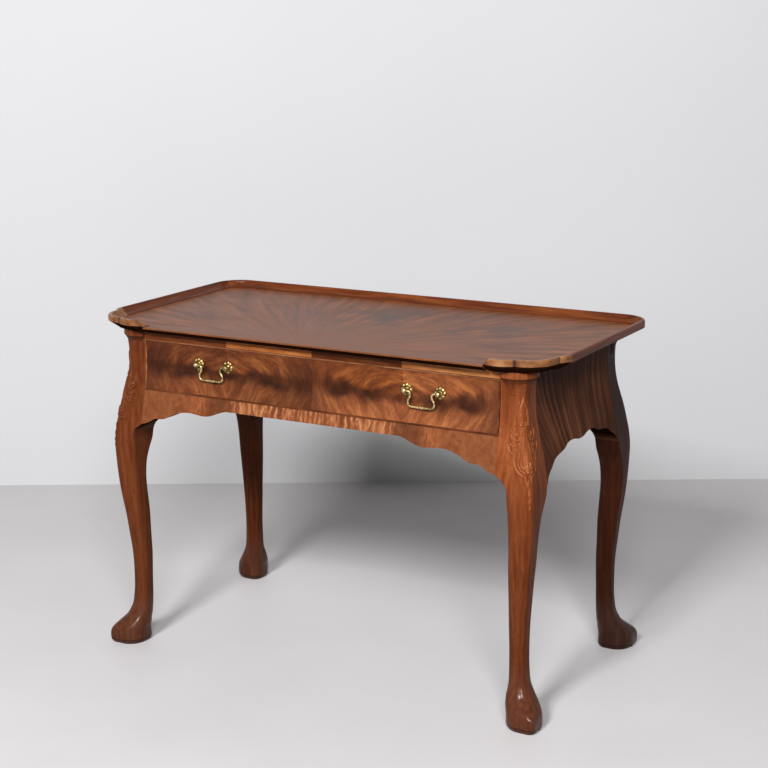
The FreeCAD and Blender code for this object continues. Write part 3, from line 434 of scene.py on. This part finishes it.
# Along the front, in metres from its middle: how far the stripes show, then how light the veneer is.
stripe_strengths = ((0.0, "#ffffff"), (0.32, "#303030"), (0.175, "#ffffff"), (0.205, "#606060"),
                    (0.254, "#606060"), (0.262, "#c0c0c0"), (0.276, "#c0c0c0"), (0.284, "#404040"))
apron_tones = ((0.0, "#ffffff"), (0.45, "#d6d2ca"), (0.17, "#ffffff"), (0.205, "#aaa096"),
               (0.244, "#b8aea4"), (0.262, "#ece0d2"), (0.280, "#ece0d2"), (0.300, "#d8cec4"))


def striped_apron():
    """Cross-grain stripes mirrored at the middle, a dull patch, two bright streaks, then plain mottle."""
    material, tree, shader, place = polished_veneer("striped_mahogany_veneer", polish=0.42)
    parts = add(tree, "ShaderNodeSeparateXYZ", {0: place})
    out = add(tree, "ShaderNodeMath", {0: parts.outputs["X"]}, operation="ABSOLUTE")
    matched = add(tree, "ShaderNodeCombineXYZ", {"X": out.outputs[0], "Y": 0.0, "Z": parts.outputs["Z"]})
    bent, _ = wandering(tree, matched.outputs[0], wave_mm=22, detail=1.0, reach=(0.012, 0.012, 0.012))
    lean = add(tree, "ShaderNodeMapping", {"Vector": bent, "Rotation": (0, 0.25, 0), "Scale": (1, 1, 0.16)})
    stripe = add(tree, "ShaderNodeTexNoise", {"Vector": lean.outputs[0], "Scale": waves(8), "Detail": 2.0,
                                              "Roughness": 0.5})
    fibre = add(tree, "ShaderNodeTexNoise", {"Vector": lean.outputs[0], "Scale": waves(1.8), "Detail": 2.0})
    mottle = add(tree, "ShaderNodeTexNoise", {"Vector": bent, "Scale": waves(16), "Detail": 3.0})
    calm = add(tree, "ShaderNodeMapRange", {"Value": mottle.outputs["Fac"], "To Min": 0.42, "To Max": 0.64})
    strong = add(tree, "ShaderNodeValToRGB", {"Fac": out.outputs[0]}, stops=stripe_strengths)
    mixed = add(tree, "ShaderNodeMix", {0: strong.outputs[0], 2: calm.outputs[0], 3: stripe.outputs["Fac"]})
    colour = add(tree, "ShaderNodeValToRGB", {"Fac": mixed.outputs[0]},
                 stops=((0.30, "#542d1a"), (0.72, "#c48a5c"), (0.50, "#8c4f30")))
    zones = add(tree, "ShaderNodeValToRGB", {"Fac": out.outputs[0]}, stops=apron_tones)
    zoned = add(tree, "ShaderNodeVectorMath", {0: colour.outputs[0], 1: zones.outputs[0]},
                operation="MULTIPLY")
    thread = add(tree, "ShaderNodeMapRange", {"Value": fibre.outputs["Fac"], "From Min": 0.3, "From Max": 0.7,
                                              "To Min": 0.84, "To Max": 1.12})
    cut = add(tree, "ShaderNodeVectorMath", {0: zoned.outputs[0], 1: thread.outputs[0]}, operation="MULTIPLY")
    bump = add(tree, "ShaderNodeBump", {"Height": fibre.outputs["Fac"], "Strength": 0.15, "Distance": 0.0003})
    # Painted shade on the faces that turn down.
    shaded_edge(tree, cut.outputs[0], edge="#24120a", shine=0.1, coat=0.05)
    tree.links.new(bump.outputs[0], shader.inputs["Normal"])
    return material


ribbon_top, ribbon_stretch = 0.69, 0.04


def ribbon_side():
    """Ribbon stripes in tones of painted shade, upright at the back and leaning out from the front post lower
    down, and darker near the top as a painted shadow.
    """
    material, tree, shader, place = polished_veneer("ribbon_mahogany_veneer_painted_shade", polish=0.5)
    bent, _ = wandering(tree, place, wave_mm=60, detail=2.0, reach=(0.010, 0.010, 0.010))
    parts = add(tree, "ShaderNodeSeparateXYZ", {0: bent})
    lean = add(tree, "ShaderNodeMapRange", {"Value": parts.outputs["Y"], "From Min": 0.08, "From Max": -0.17,
                                            "To Min": 0.0, "To Max": 0.55}, interpolation_type="SMOOTHSTEP")
    drop = add(tree, "ShaderNodeMath", {0: ribbon_top, 1: parts.outputs["Z"]}, operation="SUBTRACT")
    slide = add(tree, "ShaderNodeMath", {0: lean.outputs[0], 1: drop.outputs[0]}, operation="MULTIPLY")
    across = add(tree, "ShaderNodeMath", {0: parts.outputs["Y"], 1: slide.outputs[0]}, operation="SUBTRACT")
    down = add(tree, "ShaderNodeMath", {0: parts.outputs["Z"], 1: ribbon_stretch}, operation="MULTIPLY")
    ribbon = add(tree, "ShaderNodeCombineXYZ", {"Y": across.outputs[0], "Z": down.outputs[0]})
    stripe = add(tree, "ShaderNodeTexNoise", {"Vector": ribbon.outputs[0], "Scale": waves(13), "Detail": 3.0,
                                              "Roughness": 0.5})
    fibre = add(tree, "ShaderNodeTexNoise", {"Vector": ribbon.outputs[0], "Scale": waves(1.4), "Detail": 2.0})
    # The stripes' tones are painted shade, dark because this side turns away from the lamps.
    colour = add(tree, "ShaderNodeValToRGB", {"Fac": stripe.outputs["Fac"]},
                 stops=((0.30, "#3a2017"), (0.74, "#845439"), (0.52, "#5b3523")))
    patch = add(tree, "ShaderNodeTexNoise", {"Vector": bent, "Scale": waves(70), "Detail": 2.0})
    cloudy = add(tree, "ShaderNodeMapRange", {"Value": patch.outputs["Fac"], "From Min": 0.35,
                                              "From Max": 0.65, "To Min": 0.70, "To Max": 1.15})
    # Painted shadow of the top's overhang: the veneer is darker towards the top.
    lit = add(tree, "ShaderNodeMapRange", {"Value": parts.outputs["Z"], "From Min": 0.68, "From Max": 0.60,
                                           "To Min": 0.62, "To Max": 1.1}, interpolation_type="SMOOTHSTEP")
    uneven = add(tree, "ShaderNodeMath", {0: cloudy.outputs[0], 1: lit.outputs[0]}, operation="MULTIPLY")
    thread = add(tree, "ShaderNodeMapRange", {"Value": fibre.outputs["Fac"], "From Min": 0.3, "From Max": 0.7,
                                              "To Min": 0.82, "To Max": 1.14})
    grey = add(tree, "ShaderNodeMath", {0: thread.outputs[0], 1: uneven.outputs[0]}, operation="MULTIPLY")
    cut = add(tree, "ShaderNodeVectorMath", {0: colour.outputs[0], 1: grey.outputs[0]}, operation="MULTIPLY")
    bump = add(tree, "ShaderNodeBump", {"Height": fibre.outputs["Fac"], "Strength": 0.15, "Distance": 0.0003})
    # Painted shade on the faces that turn down.
    shaded_edge(tree, cut.outputs[0], edge="#1c0e08", shine=0.02)
    tree.links.new(bump.outputs[0], shader.inputs["Normal"])
    return material


dress(striped_apron(), "apron_front")
dress(ribbon_side(), "apron_left", "apron_right")
dress(polished_wood("stained_back_board", "#3c2013", "#5f3822", "#7a4d30", grain_along, figure_mm=12,
                    fibre_mm=1.5, polish=0.45, coat=0.15, seed=2.2), "apron_back")


# Drawer front. Four leaves of crotch veneer, cut one after another from the same log and book-matched,
# so the figure mirrors at each handle. Left of a joint a leaf takes the light the other way and is darker.
# Thin cock beads frame them, and the rail over the drawer is veneered to meet their joints.
leaf_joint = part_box("veneer_leaf_1")[1][0]
stem_height, stem_blend = 0.617, 0.008
feather_width, feather_sweep = 0.42, 0.20
flame_lean, flame_stretch = -0.6, 0.26


def crotch_pair(name, joint_x, stem_z, seed, left_tone, right_tone):
    """Feathers arching over a dark stem, and slanting flames below it, mirrored at the joint."""
    material, tree, shader, place = polished_veneer(name, polish=0.4)
    shader.inputs["Specular IOR Level"].default_value = 0.1
    shader.inputs["Coat Weight"].default_value = 0.08
    parts = add(tree, "ShaderNodeSeparateXYZ", {0: place})
    beside = add(tree, "ShaderNodeMath", {0: parts.outputs["X"], 1: joint_x}, operation="SUBTRACT")
    apart = add(tree, "ShaderNodeMath", {0: beside.outputs[0]}, operation="ABSOLUTE")
    lift = add(tree, "ShaderNodeMath", {0: parts.outputs["Z"], 1: stem_z}, operation="SUBTRACT")
    matched = add(tree, "ShaderNodeCombineXYZ", {"X": apart.outputs[0], "Y": seed, "Z": lift.outputs[0]})
    bent, warp = wandering(tree, matched.outputs[0], wave_mm=60, detail=2.0, reach=(0.030, 0.0, 0.018))
    swayed = add(tree, "ShaderNodeSeparateXYZ", {0: bent})
    along, rise = swayed.outputs["X"], swayed.outputs["Z"]

    wide = add(tree, "ShaderNodeMath", {0: along, 1: feather_width}, operation="MULTIPLY")
    ring = add(tree, "ShaderNodeCombineXYZ", {"X": wide.outputs[0], "Y": rise})
    reach = add(tree, "ShaderNodeVectorMath", {0: ring.outputs[0]}, operation="LENGTH")
    sweep = add(tree, "ShaderNodeMath", {0: along, 1: feather_sweep}, operation="MULTIPLY")
    plume = add(tree, "ShaderNodeCombineXYZ", {"X": reach.outputs["Value"], "Y": sweep.outputs[0],
                                               "Z": seed})
    feather = add(tree, "ShaderNodeTexNoise", {"Vector": plume.outputs[0], "Scale": waves(10), "Detail": 4.0,
                                               "Roughness": 0.58})
    tilt = add(tree, "ShaderNodeMath", {0: rise, 1: flame_lean, 2: along}, operation="MULTIPLY_ADD")
    fall = add(tree, "ShaderNodeMath", {0: rise, 1: flame_stretch}, operation="MULTIPLY")
    tongue = add(tree, "ShaderNodeCombineXYZ", {"X": tilt.outputs[0], "Y": fall.outputs[0], "Z": seed})
    flame = add(tree, "ShaderNodeTexNoise", {"Vector": tongue.outputs[0], "Scale": waves(20), "Detail": 4.0,
                                             "Roughness": 0.55})
    above = add(tree, "ShaderNodeMapRange", {"Value": rise, "From Min": -stem_blend, "From Max": stem_blend})
    figure = add(tree, "ShaderNodeMix", {0: above.outputs[0], 2: flame.outputs["Fac"],
                                         3: feather.outputs["Fac"]})
    colour = add(tree, "ShaderNodeValToRGB", {"Fac": figure.outputs[0]},
                 stops=((0.28, "#5a2e1a"), (0.78, "#bc7846"), (0.52, "#884c2c")))

    broad = add(tree, "ShaderNodeTexNoise", {"Vector": matched.outputs[0], "Scale": waves(34),
                                             "Detail": 3.0})
    grown = add(tree, "ShaderNodeMapRange", {"Value": apart.outputs[0], "From Min": 0.0, "From Max": 0.17,
                                             "To Min": 0.014, "To Max": 0.036})
    spread = add(tree, "ShaderNodeMapRange", {"Value": broad.outputs["Fac"], "From Min": 0.3, "From Max": 0.7,
                                              "To Min": 0.5, "To Max": 1.5})
    half = add(tree, "ShaderNodeMath", {0: grown.outputs[0], 1: spread.outputs[0]}, operation="MULTIPLY")
    level = add(tree, "ShaderNodeMath", {0: rise}, operation="ABSOLUTE")
    depth = add(tree, "ShaderNodeMath", {0: level.outputs[0], 1: half.outputs[0]}, operation="DIVIDE")
    stem = add(tree, "ShaderNodeMapRange", {"Value": depth.outputs[0], "From Min": 0.15, "From Max": 1.0,
                                            "To Min": 0.95, "To Max": 0.0}, interpolation_type="SMOOTHSTEP")
    patchy = add(tree, "ShaderNodeMapRange", {"Value": warp, "From Min": 0.38, "From Max": 0.60,
                                              "To Min": 1.0, "To Max": 0.55})
    broken = add(tree, "ShaderNodeMath", {0: stem.outputs[0], 1: patchy.outputs[0]}, operation="MULTIPLY")
    dusky = add(tree, "ShaderNodeMix", {0: broken.outputs[0], 6: colour.outputs[0], 7: linear("#615755")},
                data_type="RGBA", blend_type="MULTIPLY")
    far = add(tree, "ShaderNodeMapRange", {"Value": apart.outputs[0], "From Min": 0.12, "From Max": 0.20,
                                           "To Min": 0.0, "To Max": 0.55}, interpolation_type="SMOOTHSTEP")
    edge = add(tree, "ShaderNodeMix", {0: far.outputs[0], 6: dusky.outputs[2], 7: linear("#5a2f1b")},
               data_type="RGBA")
    right = add(tree, "ShaderNodeMath", {0: beside.outputs[0], 1: 0.0}, operation="GREATER_THAN")
    high, low = (add(tree, "ShaderNodeMix", {0: right.outputs[0], 6: linear(left), 7: linear(other)},
                     data_type="RGBA") for left, other in zip(left_tone, right_tone))
    tone = add(tree, "ShaderNodeMix", {0: above.outputs[0], 6: low.outputs[2], 7: high.outputs[2]},
               data_type="RGBA")
    fibre = add(tree, "ShaderNodeTexNoise", {"Vector": plume.outputs[0], "Scale": waves(1.7), "Detail": 2.0})
    hair = add(tree, "ShaderNodeTexNoise", {"Vector": tongue.outputs[0], "Scale": waves(2.0), "Detail": 2.0})
    fine = add(tree, "ShaderNodeMix", {0: above.outputs[0], 2: hair.outputs["Fac"], 3: fibre.outputs["Fac"]})
    thread = add(tree, "ShaderNodeMapRange", {"Value": fine.outputs[0], "From Min": 0.3, "From Max": 0.7,
                                              "To Min": 0.78, "To Max": 1.18})
    toned = add(tree, "ShaderNodeVectorMath", {0: edge.outputs[2], 1: tone.outputs[2]}, operation="MULTIPLY")
    cut = add(tree, "ShaderNodeVectorMath", {0: toned.outputs[0], 1: thread.outputs[0]}, operation="MULTIPLY")
    bump = add(tree, "ShaderNodeBump", {"Height": fine.outputs[0], "Strength": 0.12, "Distance": 0.0003})
    tree.links.new(cut.outputs[0], shader.inputs["Base Color"])
    tree.links.new(bump.outputs[0], shader.inputs["Normal"])
    return material


# Each leaf has a tone above the stem and one below it.
left_pair = crotch_pair("crotch_mahogany_left", leaf_joint, stem_height, seed=0.31,
                        left_tone=("#b6a99c", "#d6d0cc"), right_tone=("#ccc2b0", "#c4bfb8"))
right_pair = crotch_pair("crotch_mahogany_right", -leaf_joint, stem_height, seed=0.77,
                         left_tone=("#dccdac", "#ffffff"), right_tone=("#fffaea", "#ffffff"))
dress(left_pair, "veneer_leaf_1", "veneer_leaf_2")
dress(right_pair, "veneer_leaf_3", "veneer_leaf_4")
bead_grain = (0.05, 1, 0.3)
# The top and left beads are a lit copy and the bottom and right ones a shaded copy of one bead wood: painted
# highlight and painted shade.
dress(polished_wood("cock_bead_painted_highlight", "#6e3f26", "#8a5636", "#a06a48", bead_grain, figure_mm=5, fibre_mm=1.0,
                    seed=1.3), "bead_top", "bead_left")
dress(polished_wood("cock_bead_painted_shade", "#44220f", "#5c301a", "#7a4528", bead_grain, figure_mm=5, fibre_mm=1.0,
                    seed=2.3), "bead_bottom", "bead_right")


def matched_rail():
    """The rail's veneer, in four lengths that meet over the leaves' joints, dark and light by turns, painted
    lighter to make up for the lip's shadow.
    """
    # The wood's tones are painted light: lighter, to make up for the shadow that the top's lip casts on the
    # rail.
    material = polished_wood("rail_veneer_painted_light", "#965a30", "#b87646", "#d0945e", (0.15, 1, 1), figure_mm=9,
                             fibre_mm=1.5, seed=6.6)
    tree, shader, wood, parts = opened(material)
    run = add(tree, "ShaderNodeMapRange", {"Value": parts["X"], "From Min": 2 * leaf_joint,
                                           "From Max": -2 * leaf_joint})
    lengths = add(tree, "ShaderNodeValToRGB", {"Fac": run.outputs[0]},
                  stops=((0.0, "#a88876"), (0.75, "#fffaf2"), (0.25, "#ffe6c4"), (0.5, "#967665")))
    lengths.color_ramp.interpolation = "CONSTANT"
    toned = add(tree, "ShaderNodeVectorMath", {0: wood, 1: lengths.outputs[0]}, operation="MULTIPLY")
    tree.links.new(toned.outputs[0], shader.inputs["Base Color"])
    return material


dress(matched_rail(), "rail_front")


# Drawer box and bearers. The box is planed oak, dovetailed at the front. The bearers are softwood. Both
# are left bare, dry and dull.
oak_tones, dry = ("#7d5c3a", "#a5825a", "#bf9d72"), {"fibre_mm": 1.0, "polish": 0.62, "coat": 0.0}
bare_oak = polished_wood("planed_oak", *oak_tones, grain_across, figure_mm=7, seed=4.4, **dry)
oak_across = polished_wood("planed_oak_across", *oak_tones, grain_along, figure_mm=7, seed=7.4, **dry)
bare_pine = polished_wood("planed_pine", "#5a3e26", "#7c5a38", "#94714a", grain_across, figure_mm=9,
                          fibre_mm=1.2, polish=0.66, coat=0.0, seed=9.4)
dress(bare_oak, "drawer_side_left", "drawer_side_right")
dress(oak_across, "drawer_back", "drawer_bottom")
dress(polished_wood("mahogany_core", "#4e2a17", "#774426", "#92593a", grain_along, figure_mm=9, fibre_mm=1.2,
                    polish=0.5, coat=0.0, seed=5.2), "drawer_front")
dress(bare_pine, "runner_left", "runner_right", "guide_left", "guide_right", "kicker_left", "kicker_right",
      "drawer_rail", "drawer_stops", "glue_blocks")


# Handles. Cast and turned brass, lacquered long ago: bright where hands rub it, brown in its hollows.
# Each rosette is cast with eight petals round a collar, and a nut behind the front draws its post tight.
def aged_brass(name, dark, light):
    """Brass with a brown patina in patches, and a faint unevenness from casting."""
    material, tree, shader, place = new_finish(name)
    patch = add(tree, "ShaderNodeTexNoise", {"Vector": place, "Scale": waves(6), "Detail": 4.0})
    colour = add(tree, "ShaderNodeValToRGB", {"Fac": patch.outputs["Fac"]},
                 stops=((0.36, dark), (0.62, light)))
    dull = add(tree, "ShaderNodeMapRange", {"Value": patch.outputs["Fac"], "From Min": 0.35, "From Max": 0.65,
                                            "To Min": 0.50, "To Max": 0.34})
    bump = add(tree, "ShaderNodeBump", {"Height": patch.outputs["Fac"], "Strength": 0.2, "Distance": 0.0004})
    tree.links.new(colour.outputs[0], shader.inputs["Base Color"])
    tree.links.new(dull.outputs[0], shader.inputs["Roughness"])
    tree.links.new(bump.outputs[0], shader.inputs["Normal"])
    shader.inputs["Metallic"].default_value = 1.0
    return material


brass = aged_brass("aged_brass", "#40310f", "#ae925c")
rubbed_brass = aged_brass("rubbed_brass", "#5a4722", "#dcc590")
for side in ("left", "right"):
    dress(brass, "rosettes_" + side, "handle_nuts_" + side)
    dress(rubbed_brass, "handle_posts_" + side, "bail_" + side)

petal_count, steps_round = 8, 128
rosette_radius_mm, rosette_seat_mm = 13.4, 0.85
petal_root_mm, petal_length_mm, petal_fullness = 6.5, 5, 0.6
edge_notch_share, valley_share, valley_start = 0.09, 0.5, 3
# The section's points, from the bore over the collar, the groove and the petals to the flat back: how far
# out, and how high.
rosette_rows_mm = ((2.75, 0.0), (2.75, 2.4), (3.4, 3.1), (4.6, 3.2), (5.4, 2.5), (5.9, 1.5), (6.5, 1.5),
                   (7.3, 2.4), (8.6, 3.1), (10.0, 2.9), (11.4, 2.2), (12.6, 1.3), (13.2, 0.7), (13.4, 0.35),
                   (13.2, 0.0), (8.0, 0.0))


def rosette_points():
    """The section turned round its axis, drawn in and sunk between petals by a cosine of the turn."""
    turns = np.linspace(0, 2 * np.pi, steps_round, endpoint=False)
    reach, rise = np.array(rosette_rows_mm).T
    petal = np.abs(np.cos(turns * petal_count / 2))[None, :] ** petal_fullness
    outer = np.clip((reach - petal_root_mm) / petal_length_mm, 0, 1)[:, None]
    r = reach[:, None] * (1 - edge_notch_share * outer * (1 - petal))
    y = rise[:, None] * (1 - valley_share * np.clip(outer * valley_start, 0, 1) * (1 - petal))
    ring = np.stack([r * np.cos(turns), -y - rosette_seat_mm, r * np.sin(turns)], axis=-1)
    return ring.reshape(-1, 3) * MM


ring_points = rosette_points()
ring_faces = grid_faces(len(rosette_rows_mm), steps_round, wrap_rows=True, wrap_columns=True)[:, ::-1]
for side in ("left", "right"):
    low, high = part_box("rosettes_" + side)
    seat_x = (low[0] + rosette_radius_mm * MM, high[0] - rosette_radius_mm * MM)
    seat_z = (low[2] + high[2]) / 2
    seats = [np.array((x, -neck_y_mm * MM, seat_z)) for x in seat_x]
    petals = add_piece("petalled_rosettes_" + side, np.concatenate([ring_points + seat for seat in seats]),
                       np.concatenate([ring_faces, ring_faces + len(ring_points)]), brass,
                       "drawer")
    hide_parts("rosettes_" + side)


# Screws. Eight countersunk wood screws, driven from below through the kickers, hold the top. They are
# plain steel with an oily brown bloom.
def bloomed_steel():
    """Dull steel, browned in patches."""
    material, tree, shader, place = new_finish("bloomed_steel")
    patch = add(tree, "ShaderNodeTexNoise", {"Vector": place, "Scale": waves(3), "Detail": 3.0})
    colour = add(tree, "ShaderNodeValToRGB", {"Fac": patch.outputs["Fac"]},
                 stops=((0.4, "#4d4038"), (0.7, "#8b8a88")))
    tree.links.new(colour.outputs[0], shader.inputs["Base Color"])
    shader.inputs["Metallic"].default_value = 1.0
    shader.inputs["Roughness"].default_value = 0.45
    return material


dress(bloomed_steel(), "top_screws")


# Room. A pale painted floor and wall, a soft lamp high in front of the table, a wider and weaker one over
# the camera, and a dim even fill. The camera stands where the photograph was taken.
camera_place = Vector((1.7108, -2.9420, 1.3706))
camera_yaw = math.radians(29.69)
camera_pitch = math.radians(13.18)
camera_roll = math.radians(-0.5)
camera_lens_mm, camera_film_mm = 78.27, 36
wall_distance = 4.615

level_way = Vector((-math.sin(camera_yaw), math.cos(camera_yaw), 0))
forward = level_way * math.cos(camera_pitch) - Vector((0, 0, math.sin(camera_pitch)))
right = Vector((math.cos(camera_yaw), math.sin(camera_yaw), 0))
upward = right.cross(forward)
tilted_right = right * math.cos(camera_roll) + upward * math.sin(camera_roll)
tilted_up = upward * math.cos(camera_roll) - right * math.sin(camera_roll)
camera = bpy.data.objects.new("camera", bpy.data.cameras.new("camera"))
camera.data.lens = camera_lens_mm
camera.data.sensor_width = camera_film_mm
turn = Matrix((tilted_right, tilted_up, -forward)).transposed().to_4x4()
camera.matrix_world = Matrix.Translation(camera_place) @ turn
bpy.context.scene.collection.objects.link(camera)
bpy.context.scene.camera = camera


def seen_directly(tree):
    """One for what the camera, a mirroring surface or glass sees, and zero for light that goes on."""
    ray = add(tree, "ShaderNodeLightPath").outputs
    seen = add(tree, "ShaderNodeMath", {0: ray["Is Camera Ray"], 1: ray["Is Glossy Ray"]},
               operation="MAXIMUM")
    either = add(tree, "ShaderNodeMath", {0: seen.outputs[0], 1: ray["Is Transmission Ray"]},
                 operation="MAXIMUM")
    return either.outputs[0]


bounce_share = 0.42


def painted(name, dark, light, patch_mm, roughness):
    """Matt paint with faint wide patches, seen from its front only. The table gets part of its light."""
    material, tree, shader, place = new_finish(name)
    patch = add(tree, "ShaderNodeTexNoise", {"Vector": place, "Scale": waves(patch_mm), "Detail": 4.0})
    colour = add(tree, "ShaderNodeValToRGB", {"Fac": patch.outputs["Fac"]},
                 stops=((0.3, dark), (0.7, light)))
    share = add(tree, "ShaderNodeMapRange", {"Value": seen_directly(tree), "To Min": bounce_share,
                                             "To Max": 1.0})
    paint = add(tree, "ShaderNodeVectorMath", {0: colour.outputs[0], 1: share.outputs[0]},
                operation="MULTIPLY")
    tree.links.new(paint.outputs[0], shader.inputs["Base Color"])
    shader.inputs["Roughness"].default_value = roughness
    side = add(tree, "ShaderNodeNewGeometry").outputs["Backfacing"]
    one_sided = add(tree, "ShaderNodeMixShader", {0: side, 1: shader.outputs[0],
                                                  2: add(tree, "ShaderNodeBsdfTransparent").outputs[0]})
    tree.links.new(one_sided.outputs[0], tree.nodes["Material Output"].inputs["Surface"])
    return material


def sheet(name, corners, material):
    """A flat piece of the room from its four corners."""
    mesh = bpy.data.meshes.new(name)
    mesh.from_pydata(corners, [], [(0, 1, 2, 3)])
    piece = bpy.data.objects.new(name, mesh)
    mesh.materials.append(material)
    bpy.context.scene.collection.objects.link(piece)


wall_foot = Vector((camera_place.x, camera_place.y, 0)) + level_way * wall_distance
half_room, wall_height = 6.0, 5.0
sheet("floor", [wall_foot - right * half_room - level_way * 2 * half_room,
                wall_foot + right * half_room - level_way * 2 * half_room,
                wall_foot + right * half_room, wall_foot - right * half_room],
      painted("floor_paint", "#dddadb", "#e3e0e1", patch_mm=400, roughness=0.55))
sheet("wall", [wall_foot - right * half_room, wall_foot + right * half_room,
               wall_foot + right * half_room + Vector((0, 0, wall_height)),
               wall_foot - right * half_room + Vector((0, 0, wall_height))],
      painted("wall_paint", "#dadadc", "#dedee0", patch_mm=900, roughness=0.8))


table_middle = Vector((0, 0, 0.5))


def lamp(name, azimuth, elevation, distance, size, power):
    """A square soft lamp that faces the table, placed by its angles round it."""
    data = bpy.data.lights.new(name, "AREA")
    data.size = size
    data.energy = power
    way = Vector((math.sin(azimuth) * math.cos(elevation), -math.cos(azimuth) * math.cos(elevation),
                  math.sin(elevation)))
    piece = bpy.data.objects.new(name, data)
    piece.location = table_middle + way * distance
    piece.rotation_euler = (-way).to_track_quat("-Z", "Y").to_euler()
    bpy.context.scene.collection.objects.link(piece)


lamp("key_lamp", math.radians(5), math.radians(34), distance=6.0, size=1.2, power=290)
lamp("wide_lamp", math.radians(32), math.radians(33), distance=6.0, size=1.7, power=200)
fill_strength, far_strength = 0.045, 0.8
room = bpy.data.worlds.new("room")
room.use_nodes = True
air = room.node_tree
sky = add(air, "ShaderNodeMapRange", {"Value": seen_directly(air), "To Min": fill_strength,
                                      "To Max": far_strength})
air.links.new(sky.outputs[0], air.nodes["Background"].inputs["Strength"])
air.nodes["Background"].inputs["Color"].default_value = linear("#f4f3f2")
bpy.context.scene.world = room
bpy.context.scene.view_settings.view_transform = "Standard"
